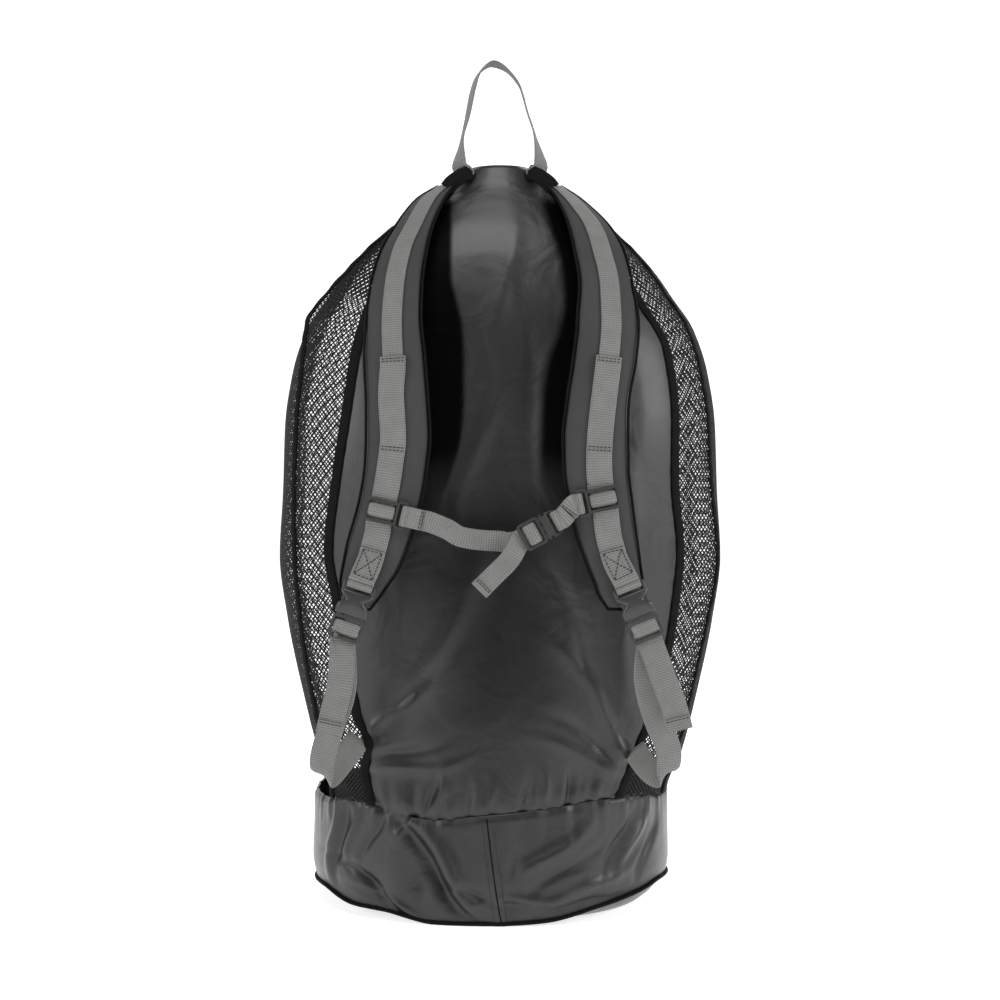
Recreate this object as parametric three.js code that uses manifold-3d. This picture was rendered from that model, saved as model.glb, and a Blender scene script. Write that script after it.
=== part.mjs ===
// Mesh dive gear bag, standing on its base with its straps towards -Y.
// Millimetres, +Z up. X = 0 is the middle of the back panel and Z = 0 is the ground.
import * as THREE from 'three';
import Module from 'manifold-3d';

const wasm = await Module();
wasm.setup();

// Driving dimensions of the bag
const BODY_HEIGHT = 772;
const BODY_HALF_WIDTH = 238;
const BODY_HALF_DEPTH = 165;
const BASE_HEIGHT = 115;
const PANEL_WALL = 1.6;
const NET_WALL = 1.4;
const BASE_WALL = 2;
const FLOOR_WALL = 2;
const FLOOR_FLAT_SHARE = 0.8;
const RIM_DIAMETER = 5;
const SEAM_GAP = 0.3;
const TAPE_CLEARANCE = 0.6;
const FOLD_DEPTH = 10;

// Edge tapes and hems
const BINDING_WIDTH = 11;
const BINDING_THICKNESS = 1.8;
const NET_SEAM_WIDTH = 7;
const NET_EDGE_GAP = 0.6;
const HEM_HEIGHT = 16;
const HEM_SIDES = 24;

// Net: share of each cell's half width that the strands keep, the rows of cells with gaps, and the
// least turn in radians from the panel's edge to a sewn seam
const NET_STRAND_SHARE = 0.3;
const SIDE_NET_ROWS = 13;
const FRONT_NET_ROWS = 9;
const SEAM_CLEAR_TURN = 0.12;

// Shoulder straps
const PAD_WIDTH = 60;
const PAD_THICKNESS = 11;
const PAD_EDGE_THICKNESS = 5;
const PAD_BINDING_WIDTH = 6;
const PAD_BINDING_THICKNESS = 1.6;
const SHOULDER_WEB_WIDTH = 25;
const UPPER_WEB_WIDTH = 20;
const WEB_THICKNESS = 1.5;
const WEB_LIFT = 1;
const ANCHOR_WIDTH = 22;
const ANCHOR_THICKNESS = 3;
const HANDLE_WIDTH = 25;
const HANDLE_THICKNESS = 2;

// Sternum strap and the plastic parts
const STERNUM_WEB_WIDTH = 20;
const BAR_HALF = 2.6;
const SLOT_HEIGHT = 5.8;
const BAR_HEIGHT = 3.2;
const PLASTIC_THICKNESS = 3;
const SLOT_SIDE_ROOM = 1;
const FRAME_SIDE = 2.6;
const SOCKET_THICKNESS = 9;
const SOCKET_WALL = 1.8;
const SIDE_TONGUE_WIDTH = 4;
const MIDDLE_TONGUE_WIDTH = 3;
const TONGUE_INSET = 3;
const BUCKLE_LENGTH = 43;
const STERNUM_BUCKLE_LENGTH = 27;
const LOOP_BAR_HALF = 1.8;
const CORNER = 2.5;
const WINDOW_DEPTH = 3;
const WINDOW_SHARE = 0.42;
const EYE_START = 0.2;
const EYE_SLOT = 5.2;
const EYE_BAR = 2.8;
const STERNUM_FLAP = 17;

const CLOTH = { color: 0x3a3b3d, roughness: 0.5, metalness: 0 };
const NET = { color: 0x191919, roughness: 0.8, metalness: 0 };
const TAPE = { color: 0x141414, roughness: 0.8, metalness: 0 };
const PAD_CLOTH = { color: 0x343536, roughness: 0.75, metalness: 0 };
const WEBBING = { color: 0x7d7d7b, roughness: 0.8, metalness: 0 };
const PLASTIC = { color: 0x2f2f2f, roughness: 0.45, metalness: 0 };

// The body's outline by height, from the ground to the panel's top edge. Height is a share of
// BODY_HEIGHT, left and right of BODY_HALF_WIDTH, and back, middle and front of BODY_HALF_DEPTH:
// back is the reach towards -Y, middle the place of the widest line, front the reach towards +Y.
const SECTIONS = [
  { height: 0.000, left: 0.800, right: 0.715, back: 0.88, middle: 0.00, front: 0.88, square: 2.3 },
  { height: 0.060, left: 0.845, right: 0.760, back: 0.92, middle: 0.00, front: 0.92, square: 2.3 },
  { height: 0.145, left: 0.836, right: 0.756, back: 0.91, middle: 0.00, front: 0.91, square: 2.3 },
  { height: 0.205, left: 0.868, right: 0.828, back: 0.90, middle: 0.00, front: 0.96, square: 2.3 },
  { height: 0.265, left: 0.915, right: 0.880, back: 0.91, middle: 0.01, front: 1.02, square: 2.3 },
  { height: 0.385, left: 0.980, right: 0.965, back: 0.92, middle: 0.03, front: 1.09, square: 2.3 },
  { height: 0.470, left: 1.000, right: 1.000, back: 0.92, middle: 0.04, front: 1.11, square: 2.35 },
  { height: 0.560, left: 1.005, right: 0.985, back: 0.92, middle: 0.04, front: 1.10, square: 2.35 },
  { height: 0.650, left: 1.000, right: 0.976, back: 0.91, middle: 0.04, front: 1.05, square: 2.35 },
  { height: 0.725, left: 0.985, right: 0.940, back: 0.88, middle: 0.02, front: 0.97, square: 2.3 },
  { height: 0.785, left: 0.966, right: 0.874, back: 0.84, middle: 0.00, front: 0.86, square: 2.25 },
  { height: 0.823, left: 0.874, right: 0.790, back: 0.80, middle: -0.02, front: 0.75, square: 2.2 },
  { height: 0.863, left: 0.748, right: 0.697, back: 0.74, middle: -0.05, front: 0.60, square: 2.15 },
  { height: 0.903, left: 0.600, right: 0.571, back: 0.65, middle: -0.10, front: 0.42, square: 2.1 },
  { height: 0.943, left: 0.400, right: 0.395, back: 0.53, middle: -0.15, front: 0.22, square: 2.05 },
  { height: 0.972, left: 0.235, right: 0.235, back: 0.44, middle: -0.18, front: 0.07, square: 2 },
  { height: 1.000, left: 0.150, right: 0.150, back: 0.38, middle: -0.19, front: 0.01, square: 2 },
];

// The back panel's two edges, as shares of BODY_HALF_WIDTH by share of BODY_HEIGHT
const PANEL_EDGES = [
  { height: 0.145, left: 0.540, right: 0.480 },
  { height: 0.196, left: 0.571, right: 0.550 },
  { height: 0.228, left: 0.536, right: 0.590 },
  { height: 0.262, left: 0.600, right: 0.640 },
  { height: 0.355, left: 0.655, right: 0.720 },
  { height: 0.420, left: 0.695, right: 0.752 },
  { height: 0.480, left: 0.727, right: 0.770 },
  { height: 0.572, left: 0.693, right: 0.745 },
  { height: 0.655, left: 0.651, right: 0.748 },
  { height: 0.745, left: 0.605, right: 0.715 },
  { height: 0.805, left: 0.545, right: 0.605 },
  { height: 0.903, left: 0.378, right: 0.403 },
  { height: 0.960, left: 0.235, right: 0.245 },
  { height: 1.000, left: 0.135, right: 0.135 },
];

// The seam on top of the base and the base's lower edge, round the bag. Turn is the angle from
// the panel's middle in degrees, positive towards +X; seam and lift are shares of BASE_HEIGHT.
const BASE_EDGES = [
  { turn: -180, seam: 1.000, lift: 0.00 },
  { turn: -110, seam: 1.000, lift: 0.12 },
  { turn: -66, seam: 0.990, lift: 0.18 },
  { turn: -48, seam: 1.040, lift: 0.09 },
  { turn: -32, seam: 0.980, lift: 0.07 },
  { turn: -17, seam: 0.915, lift: 0.00 },
  { turn: -3, seam: 0.957, lift: 0.00 },
  { turn: 12, seam: 1.010, lift: 0.02 },
  { turn: 31, seam: 1.065, lift: 0.12 },
  { turn: 52, seam: 1.060, lift: 0.20 },
  { turn: 65, seam: 1.017, lift: 0.24 },
  { turn: 110, seam: 1.000, lift: 0.14 },
  { turn: 180, seam: 1.000, lift: 0.00 },
];

// Where the net's two sewn seams run, in degrees from the panel's middle
const NET_SEAMS = { left: -57, right: 68 };

// Main dents (negative) and ridges of the cloth: place and reach by turn in degrees and by share
// of BODY_HEIGHT, depth as a share of FOLD_DEPTH
const FOLDS = [
  { turn: -57, height: 0.50, turnReach: 5, heightReach: 0.26, depth: 0.7 },
  { turn: -72, height: 0.48, turnReach: 6, heightReach: 0.22, depth: -0.8 },
  { turn: -74, height: 0.78, turnReach: 8, heightReach: 0.03, depth: 0.6 },
  { turn: 58, height: 0.52, turnReach: 6, heightReach: 0.18, depth: -0.6 },
  { turn: 68, height: 0.47, turnReach: 5, heightReach: 0.10, depth: 0.5 },
  { turn: -33, height: 0.225, turnReach: 5, heightReach: 0.02, depth: 0.8 },
  { turn: 33, height: 0.215, turnReach: 5, heightReach: 0.02, depth: 0.8 },
  { turn: -22, height: 0.19, turnReach: 6, heightReach: 0.03, depth: -0.5 },
  { turn: 24, height: 0.19, turnReach: 6, heightReach: 0.03, depth: -0.5 },
  { turn: 0, height: 0.62, turnReach: 13, heightReach: 0.22, depth: -0.8 },
  { turn: -21, height: 0.06, turnReach: 5, heightReach: 0.035, depth: -0.9 },
  { turn: -36, height: 0.045, turnReach: 6, heightReach: 0.03, depth: -0.5 },
  { turn: 20, height: 0.075, turnReach: 9, heightReach: 0.02, depth: 0.4 },
  { turn: -120, height: 0.50, turnReach: 10, heightReach: 0.25, depth: -0.9 },
  { turn: 125, height: 0.45, turnReach: 10, heightReach: 0.25, depth: -0.9 },
  { turn: 165, height: 0.60, turnReach: 12, heightReach: 0.18, depth: -0.7 },
  { turn: -160, height: 0.28, turnReach: 12, heightReach: 0.10, depth: 0.6 },
];

// A shoulder pad from its top end down to its tip. Height is a share of BODY_HEIGHT; the centres
// are shares of BODY_HALF_WIDTH; widths, web offsets and turn (how far the outer edge lies back)
// are shares of PAD_WIDTH; depth is the pad's reach towards -Y as a share of BODY_HALF_DEPTH.
const PAD_ROWS = [
  { height: 0.953, leftAt: 0.299, rightAt: 0.297, leftWide: 0.52, rightWide: 0.46,
    depth: 0.520, turn: 0.37, leftWeb: 0.02, rightWeb: 0.02 },
  { height: 0.9075, leftAt: 0.370, rightAt: 0.384, leftWide: 0.67, rightWide: 0.73,
    depth: 0.680, turn: 0.33, leftWeb: 0.00, rightWeb: 0.05 },
  { height: 0.8715, leftAt: 0.407, rightAt: 0.419, leftWide: 0.79, rightWide: 0.85,
    depth: 0.800, turn: 0.27, leftWeb: 0.02, rightWeb: 0.03 },
  { height: 0.823, leftAt: 0.4315, rightAt: 0.441, leftWide: 0.86, rightWide: 0.88,
    depth: 0.920, turn: 0.20, leftWeb: 0.02, rightWeb: 0.05 },
  { height: 0.7746, leftAt: 0.438, rightAt: 0.444, leftWide: 0.90, rightWide: 1.00,
    depth: 1.000, turn: 0.12, leftWeb: 0.02, rightWeb: 0.05 },
  { height: 0.7228, leftAt: 0.4305, rightAt: 0.427, leftWide: 0.985, rightWide: 1.02,
    depth: 1.050, turn: 0.08, leftWeb: 0.02, rightWeb: 0.06 },
  { height: 0.672, leftAt: 0.419, rightAt: 0.399, leftWide: 1.00, rightWide: 1.00,
    depth: 1.080, turn: 0.05, leftWeb: 0.09, rightWeb: 0.09 },
  { height: 0.6255, leftAt: 0.414, rightAt: 0.3876, leftWide: 1.03, rightWide: 1.045,
    depth: 1.100, turn: 0.04, leftWeb: 0.07, rightWeb: 0.065 },
  { height: 0.584, leftAt: 0.4235, rightAt: 0.390, leftWide: 1.00, rightWide: 1.04,
    depth: 1.109, turn: 0.04, leftWeb: 0.09, rightWeb: 0.04 },
  { height: 0.5415, leftAt: 0.448, rightAt: 0.409, leftWide: 1.00, rightWide: 1.013,
    depth: 1.109, turn: 0.05, leftWeb: 0.10, rightWeb: 0.04 },
  { height: 0.5017, leftAt: 0.4857, rightAt: 0.433, leftWide: 1.00, rightWide: 0.96,
    depth: 1.103, turn: 0.06, leftWeb: 0.05, rightWeb: 0.025 },
  { height: 0.4627, leftAt: 0.524, rightAt: 0.464, leftWide: 0.918, rightWide: 0.85,
    depth: 1.091, turn: 0.06, leftWeb: 0.04, rightWeb: 0.045 },
  { height: 0.4324, leftAt: 0.560, rightAt: 0.487, leftWide: 0.69, rightWide: 0.727,
    depth: 1.073, turn: 0.04, leftWeb: 0.09, rightWeb: 0.08 },
  { height: 0.4095, leftAt: 0.571, rightAt: 0.476, leftWide: 0.32, rightWide: 0.28,
    depth: 1.055, turn: 0.00, leftWeb: 0.00, rightWeb: 0.00 },
];

// Straps by their middle line: x as a share of BODY_HALF_WIDTH, height of BODY_HEIGHT, depth
// towards -Y of BODY_HALF_DEPTH, and turn, how far the strap's cross line dips to the right, in
// degrees. A sewn end lies on the wall, so it has no depth.
const LEFT_TAIL = [
  { x: -0.6395, height: 0.3237, depth: 1.190, turn: 10 },
  { x: -0.6680, height: 0.2862, depth: 1.186, turn: 12 },
  { x: -0.6900, height: 0.2561, depth: 1.172, turn: 11 },
];
const LEFT_REAR = [
  { x: -0.6350, height: 0.3097, depth: 1.110, turn: 9 },
  { x: -0.6864, height: 0.2611, depth: 1.090, turn: 10 },
  { x: -0.7229, height: 0.2231, depth: 1.052, turn: 14 },
  { x: -0.7260, height: 0.1990, depth: 0.990, turn: 34 },
  { x: -0.7000, height: 0.1960, depth: 0.930, turn: 62 },
  { x: -0.6500, height: 0.2140, depth: 0.860, turn: 56 },
];
const LEFT_SEWN = { x: -0.5720, height: 0.2380, turn: 48 };
const RIGHT_TAIL = [
  { x: 0.6560, height: 0.3262, depth: 1.190, turn: -20 },
  { x: 0.6960, height: 0.2937, depth: 1.186, turn: -22 },
  { x: 0.7240, height: 0.2610, depth: 1.172, turn: -21 },
];
const RIGHT_REAR = [
  { x: 0.5946, height: 0.3222, depth: 1.110, turn: -12 },
  { x: 0.6336, height: 0.2737, depth: 1.090, turn: -14 },
  { x: 0.6861, height: 0.2344, depth: 1.052, turn: -18 },
  { x: 0.6860, height: 0.2020, depth: 0.990, turn: -38 },
  { x: 0.6480, height: 0.1960, depth: 0.930, turn: -64 },
  { x: 0.6050, height: 0.2060, depth: 0.875, turn: -58 },
];
const RIGHT_SEWN = { x: 0.5400, height: 0.2240, turn: -50 };
const STERNUM_RUN = [
  { x: -0.2800, height: 0.5190, depth: 1.165, turn: 104 },
  { x: -0.2103, height: 0.5098, depth: 1.135, turn: 110 },
  { x: -0.1622, height: 0.5010, depth: 1.110, turn: 104 },
  { x: -0.0812, height: 0.4965, depth: 1.095, turn: 88 },
  { x: 0.0000, height: 0.4950, depth: 1.100, turn: 86 },
  { x: 0.0340, height: 0.4935, depth: 1.115, turn: 78 },
];
const STERNUM_TAIL = [
  { x: 0.0400, height: 0.4734, depth: 1.185, turn: 50 },
  { x: -0.0201, height: 0.4547, depth: 1.215, turn: 46 },
  { x: -0.0847, height: 0.4347, depth: 1.205, turn: 47 },
];
const HANDLE_LOOP = [
  { x: -0.181, height: 1.004, depth: 0.325, turn: 52 },
  { x: -0.170, height: 1.037, depth: 0.290, turn: 80 },
  { x: -0.144, height: 1.071, depth: 0.273, turn: 76 },
  { x: -0.123, height: 1.105, depth: 0.255, turn: 74 },
  { x: -0.098, height: 1.130, depth: 0.242, turn: 76 },
  { x: -0.056, height: 1.143, depth: 0.242, turn: 80 },
  { x: -0.020, height: 1.145, depth: 0.242, turn: 84 },
  { x: 0.030, height: 1.137, depth: 0.242, turn: 84 },
  { x: 0.080, height: 1.119, depth: 0.242, turn: 84 },
  { x: 0.103, height: 1.100, depth: 0.255, turn: 86 },
  { x: 0.125, height: 1.074, depth: 0.273, turn: 84 },
  { x: 0.156, height: 1.044, depth: 0.290, turn: 82 },
  { x: 0.181, height: 1.004, depth: 0.325, turn: 54 },
];

// Where the handle's feet lie: degrees from the panel's middle, and shares of BODY_HEIGHT
const HANDLE_FOOT_TURN = 54;
const HANDLE_FOOT_SHARES = [0.958, 0.975];

// The black pieces at the top, from the panel towards the pad, on the right; the left is its mirror
const ANCHOR_RUN = [
  { x: 0.135, height: 0.983, depth: 0.425, turn: -50 },
  { x: 0.185, height: 0.970, depth: 0.470, turn: -50 },
];
// Where an anchor stops short of its pad: reach across the pad's head, and its distance above it
// as a share of the anchor's thickness
const ANCHOR_STOP = { reach: -0.5, upward: 4 };

// Webbing on the pads: heights as shares of BODY_HEIGHT, and the layer it lies in, counted from
// the pad. Above the slider it keeps SLIDER_CLEAR from the slider's middle.
const UPPER_WEB_END = 0.715;
const SLIDER_CLEAR = 0.02;
const LOWER_WEB_ABOVE = [
  { height: 0.727, layer: 1 },
  { height: 0.712, layer: 1 },
  { height: 0.680, layer: 0 },
  { height: 0.650, layer: 0 },
  { height: 0.620, layer: 0 },
  { height: 0.590, layer: 0 },
  { height: 0.567, layer: 0 },
];
const LOWER_WEB_BELOW = [
  { height: 0.505, layer: 0 },
  { height: 0.485, layer: 0 },
  { height: 0.468, layer: 0 },
];
const LOWER_WEB_RETURN = [
  { height: 0.474, layer: 1 },
  { height: 0.485, layer: 1 },
];

// Plastic parts: centre of the middle bar and the tilt of its slots in degrees
const SLIDERS = {
  left: { x: -0.479, height: 0.533, tilt: 13 },
  right: { x: 0.417, height: 0.548, tilt: -12 },
};
const BUCKLES = {
  left: { x: -0.620, height: 0.387, depth: 1.152, tilt: 18 },
  right: { x: 0.585, height: 0.387, depth: 1.152, tilt: -22 },
};
const STERNUM_BUCKLE = { x: 0.130, height: 0.5045, depth: 1.175, tilt: 62 };

const group = new THREE.Group();
const radians = THREE.MathUtils.degToRad;
const sign = { left: -1, right: 1 };

function addMesh(name, geometry, finish) {
  const mesh = new THREE.Mesh(geometry, new THREE.MeshStandardMaterial(finish));
  mesh.name = name;
  mesh.geometry.computeVertexNormals();
  group.add(mesh);
}

// Smooth reading of one column of a table, with no overshoot between rows
function readTable(rows, keyName, key, column) {
  const last = rows.length - 1;
  if (key <= rows[0][keyName]) return rows[0][column];
  if (key >= rows[last][keyName]) return rows[last][column];
  let i = 0;
  while (key > rows[i + 1][keyName]) i += 1;
  const slope = (j) => (rows[j + 1][column] - rows[j][column])
    / (rows[j + 1][keyName] - rows[j][keyName]);
  const tangent = (j) => {
    if (j === 0) return slope(0);
    if (j === last) return slope(last - 1);
    const before = slope(j - 1);
    const after = slope(j);
    return before * after <= 0 ? 0 : 2 * before * after / (before + after);
  };
  const span = rows[i + 1][keyName] - rows[i][keyName];
  const t = (key - rows[i][keyName]) / span;
  const rise = rows[i + 1][column] - rows[i][column];
  const startBend = span * tangent(i);
  const endBend = span * tangent(i + 1);
  return rows[i][column] + startBend * t
    + (3 * rise - 2 * startBend - endBend) * t * t
    + (startBend + endBend - 2 * rise) * t * t * t;
}

// Outside of the body at a turn in radians and a height in mm: a superellipse quarter by quarter,
// pushed in or out by the folds
function wallSpot(turn, height) {
  const read = (column) => readTable(SECTIONS, 'height', height / BODY_HEIGHT, column);
  const halfX = BODY_HALF_WIDTH * (turn < 0 ? read('left') : read('right'));
  const middle = BODY_HALF_DEPTH * read('middle');
  const facesBack = Math.cos(turn) > 0;
  const halfY = facesBack
    ? BODY_HALF_DEPTH * read('back') + middle
    : BODY_HALF_DEPTH * read('front') - middle;
  const power = 2 / read('square');
  const acrossShare = Math.sign(Math.sin(turn)) * Math.abs(Math.sin(turn)) ** power;
  const backShare = Math.sign(Math.cos(turn)) * Math.abs(Math.cos(turn)) ** power;
  let push = 0;
  for (const fold of FOLDS) {
    const aside = (turn - radians(fold.turn)) / radians(fold.turnReach);
    const above = (height / BODY_HEIGHT - fold.height) / fold.heightReach;
    push += FOLD_DEPTH * fold.depth * Math.exp(-aside * aside - above * above);
  }
  return new THREE.Vector3(
    halfX * acrossShare + push * Math.sin(turn),
    middle - halfY * backShare - push * Math.cos(turn),
    height,
  );
}

// The same spot moved out (or in, when negative) square to the cloth
function offWall(turn, height, distance) {
  const turnStep = 0.01;
  const heightStep = 1.5;
  const along = wallSpot(turn + turnStep, height).sub(wallSpot(turn - turnStep, height));
  const up = wallSpot(turn, height + heightStep).sub(wallSpot(turn, height - heightStep));
  const out = along.cross(up).normalize();
  return wallSpot(turn, height).addScaledVector(out, distance);
}

// Turn at which the body's back half reaches a given x
function turnAtX(x, height) {
  const share = height / BODY_HEIGHT;
  const half = BODY_HALF_WIDTH * readTable(SECTIONS, 'height', share, x < 0 ? 'left' : 'right');
  const square = readTable(SECTIONS, 'height', share, 'square');
  const ratio = Math.min(Math.abs(x) / half, 0.98);
  return Math.sign(x) * Math.asin(ratio ** (square / 2));
}

function panelTurn(side, height) {
  const share = readTable(PANEL_EDGES, 'height', height / BODY_HEIGHT, side);
  return turnAtX(sign[side] * BODY_HALF_WIDTH * share, height);
}

function baseEdge(turn, column) {
  const degrees = THREE.MathUtils.radToDeg(turn);
  const wrapped = degrees > 180 ? degrees - 360 : degrees;
  return BASE_HEIGHT * readTable(BASE_EDGES, 'turn', wrapped, column);
}

// Closed mesh from loose triangles, turned so that its faces point outwards
function closedGeometry(positions, indices) {
  let volume = 0;
  const corner = (n) => new THREE.Vector3().fromArray(positions, 3 * indices[n]);
  for (let n = 0; n < indices.length; n += 3) {
    volume += corner(n).dot(corner(n + 1).cross(corner(n + 2)));
  }
  if (volume < 0) indices.reverse();
  const geometry = new THREE.BufferGeometry();
  geometry.setAttribute('position', new THREE.Float32BufferAttribute(positions, 3));
  geometry.setIndex(indices);
  return geometry;
}

// A sheet with two faces: front and back are rows of points of one size. A loop joins the last
// column to the first; a pierced cell gets a diamond hole.
function sheetGeometry(front, back, loop = false, pierced = () => false) {
  const positions = [];
  const indices = [];
  const rowCount = front.length;
  const columnCount = front[0].length;
  const push = (point) => positions.push(point.x, point.y, point.z) / 3 - 1;
  const faceCorners = [front, back].map((face) => face.map((row) => row.map(push)));
  const point = (face, j, i) => faceCorners[face][j][i % columnCount];
  const quadWall = (a, b, backA, backB) => {
    indices.push(b, a, backA, b, backA, backB);
  };
  const cells = loop ? columnCount : columnCount - 1;
  for (let j = 0; j < rowCount - 1; j += 1) {
    for (let i = 0; i < cells; i += 1) {
      const corners = [0, 1].map((face) => [point(face, j, i), point(face, j, i + 1),
        point(face, j + 1, i + 1), point(face, j + 1, i)]);
      if (pierced(i, j)) {
        const hole = corners.map((ring) => diamond(ring, positions, push));
        for (let n = 0; n < 4; n += 1) {
          const next = (n + 1) % 4;
          const [f, b] = corners;
          indices.push(f[n], f[next], hole[0][n], f[next], hole[0][next], hole[0][n]);
          indices.push(b[next], b[n], hole[1][n], b[next], hole[1][n], hole[1][next]);
          quadWall(hole[0][next], hole[0][n], hole[1][next], hole[1][n]);
        }
      } else {
        const [f, b] = corners;
        indices.push(f[0], f[1], f[2], f[0], f[2], f[3]);
        indices.push(b[2], b[1], b[0], b[3], b[2], b[0]);
      }
      const [f, b] = corners;
      if (j === 0) quadWall(f[0], f[1], b[0], b[1]);
      if (j === rowCount - 2) quadWall(f[2], f[3], b[2], b[3]);
      if (!loop && i === 0) quadWall(f[3], f[0], b[3], b[0]);
      if (!loop && i === cells - 1) quadWall(f[1], f[2], b[1], b[2]);
    }
  }
  return closedGeometry(positions, indices);
}

// Corners of a diamond hole, each near the middle of a cell's side
function diamond(ring, positions, push) {
  const at = ring.map((n) => new THREE.Vector3().fromArray(positions, 3 * n));
  const centre = at[0].clone().add(at[1]).add(at[2]).add(at[3]).multiplyScalar(0.25);
  return at.map((corner, n) => {
    const middle = corner.clone().lerp(at[(n + 1) % 4], 0.5);
    return push(middle.lerp(centre, NET_STRAND_SHARE));
  });
}

// The walls share these levels, as shares of BODY_HEIGHT; the lowest follows the base's seam
const BODY_LEVELS = [0.15, 0.19, 0.24, 0.31, 0.38, 0.46, 0.54, 0.62, 0.70, 0.755, 0.79, 0.82,
  0.86, 0.90, 0.94, 0.97, 1];
function levelHeight(turn, level) {
  const bottom = baseEdge(turn, 'seam') + SEAM_GAP;
  const lowest = BODY_LEVELS[0];
  return bottom + (BODY_HEIGHT - bottom) * (level - lowest) / (1 - lowest);
}

// Rows of points that follow the wall between two turns, at a distance from its outside
function wallRows(turnsAt, columns, distance) {
  return BODY_LEVELS.map((level) => Array.from({ length: columns + 1 }, (_, i) => {
    const across = i / columns;
    const [nominalFrom, nominalTo] = turnsAt(BODY_HEIGHT * level);
    const height = levelHeight(nominalFrom + (nominalTo - nominalFrom) * across, level);
    const [from, to] = turnsAt(height);
    return offWall(from + (to - from) * across, height, distance);
  }));
}

// The gap between two cloths of one layer, as a turn at this height
function gapTurn(height) {
  const half = BODY_HALF_WIDTH * readTable(SECTIONS, 'height', height / BODY_HEIGHT, 'left');
  return NET_EDGE_GAP / half;
}

function wallPiece(name, turnsAt, columns, wall, finish, pierced) {
  const outer = wallRows(turnsAt, columns, 0);
  const inner = wallRows(turnsAt, columns, -wall);
  addMesh(name, sheetGeometry(outer, inner, false, pierced), finish);
}

// Back panel, and the nets round the rest of the body
const PANEL_COLUMNS = 12;
const FRONT_COLUMNS = 14;
const netTurn = { left: radians(NET_SEAMS.left), right: radians(NET_SEAMS.right) };
// The net's seams close in on the panel where the body narrows to its mouth
const seamTurn = (side, height) => {
  const edge = Math.abs(panelTurn(side, height));
  return sign[side] * Math.max(Math.abs(netTurn[side]), edge + SEAM_CLEAR_TURN);
};
const panelTurns = (height) => [panelTurn('left', height), panelTurn('right', height)];
wallPiece('back_panel', panelTurns, PANEL_COLUMNS, PANEL_WALL, CLOTH);

const sideTurns = {
  left: (height) => [seamTurn('left', height) + gapTurn(height),
    panelTurn('left', height) - gapTurn(height)],
  right: (height) => [panelTurn('right', height) + gapTurn(height),
    seamTurn('right', height) - gapTurn(height)],
};
const sideNet = (i, j) => j > 0 && j < SIDE_NET_ROWS;
wallPiece('mesh_side_left', sideTurns.left, 1, NET_WALL, NET, sideNet);
wallPiece('mesh_side_right', sideTurns.right, 1, NET_WALL, NET, sideNet);

const frontTurns = (height) => [seamTurn('right', height) + gapTurn(height),
  2 * Math.PI + seamTurn('left', height) - gapTurn(height)];
const frontNet = (i, j) => i > 0 && i < FRONT_COLUMNS - 1 && j > 0 && j < FRONT_NET_ROWS;
wallPiece('mesh_front', frontTurns, FRONT_COLUMNS, NET_WALL, NET, frontNet);

// Tape laid on the outside of the wall along a line of turn by height, up to a level
function tapeOnWall(name, turnAt, width, thickness, topLevel) {
  const levels = BODY_LEVELS.filter((level) => level <= topLevel);
  const rows = (distance) => levels.map((level) => {
    const height = levelHeight(turnAt(BODY_HEIGHT * level), level);
    const turn = turnAt(height);
    const step = 0.01;
    const perTurn = wallSpot(turn + step, height).distanceTo(wallSpot(turn - step, height))
      / (2 * step);
    const reach = width / 2 / perTurn;
    return [-reach, 0, reach].map((aside) => offWall(turn + aside, height, distance));
  });
  addMesh(name, sheetGeometry(rows(TAPE_CLEARANCE + thickness), rows(TAPE_CLEARANCE)), TAPE);
}

const TAPE_TOP_LEVEL = 0.91;
for (const side of ['left', 'right']) {
  tapeOnWall(`panel_binding_${side}`, (height) => panelTurn(side, height), BINDING_WIDTH,
    BINDING_THICKNESS, TAPE_TOP_LEVEL);
  tapeOnWall(`mesh_seam_${side}`, (height) => seamTurn(side, height), NET_SEAM_WIDTH,
    BINDING_THICKNESS, TAPE_TOP_LEVEL);
}

// Hem inside the mouth
const spreadTurns = (from, to, count) => Array.from({ length: count },
  (_, n) => from + (to - from) * n / count);
const hemTurns = spreadTurns(-Math.PI, Math.PI, HEM_SIDES);
const hemRow = (height, distance) => hemTurns.map((turn) => offWall(turn, height, distance));
const hemOuter = -PANEL_WALL - 2 * SEAM_GAP;
const hemInner = hemOuter - PANEL_WALL;
const hemHeights = [BODY_HEIGHT - HEM_HEIGHT, BODY_HEIGHT - HEM_HEIGHT / 2, BODY_HEIGHT];
addMesh('mouth_hem', sheetGeometry(hemHeights.map((height) => hemRow(height, hemOuter)),
  hemHeights.map((height) => hemRow(height, hemInner)), true), TAPE);

// Base: the band, its floor and the piping round its lower edge
const BASE_TURNS = [
  ...spreadTurns(panelTurn('left', BASE_HEIGHT), panelTurn('right', BASE_HEIGHT), PANEL_COLUMNS),
  panelTurn('right', BASE_HEIGHT),
  ...spreadTurns(seamTurn('right', BASE_HEIGHT), 2 * Math.PI + seamTurn('left', BASE_HEIGHT),
    FRONT_COLUMNS),
  2 * Math.PI + seamTurn('left', BASE_HEIGHT),
];
const BAND_LEVELS = [0, 0.12, 0.3, 0.5, 0.72, 1];
const bandRow = (level, distance) => BASE_TURNS.map((turn) => {
  const low = baseEdge(turn, 'lift');
  return offWall(turn, low + (baseEdge(turn, 'seam') - low) * level, distance);
});
addMesh('base_band', sheetGeometry(BAND_LEVELS.map((level) => bandRow(level, 0)),
  BAND_LEVELS.map((level) => bandRow(level, -BASE_WALL)), true), CLOTH);

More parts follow.
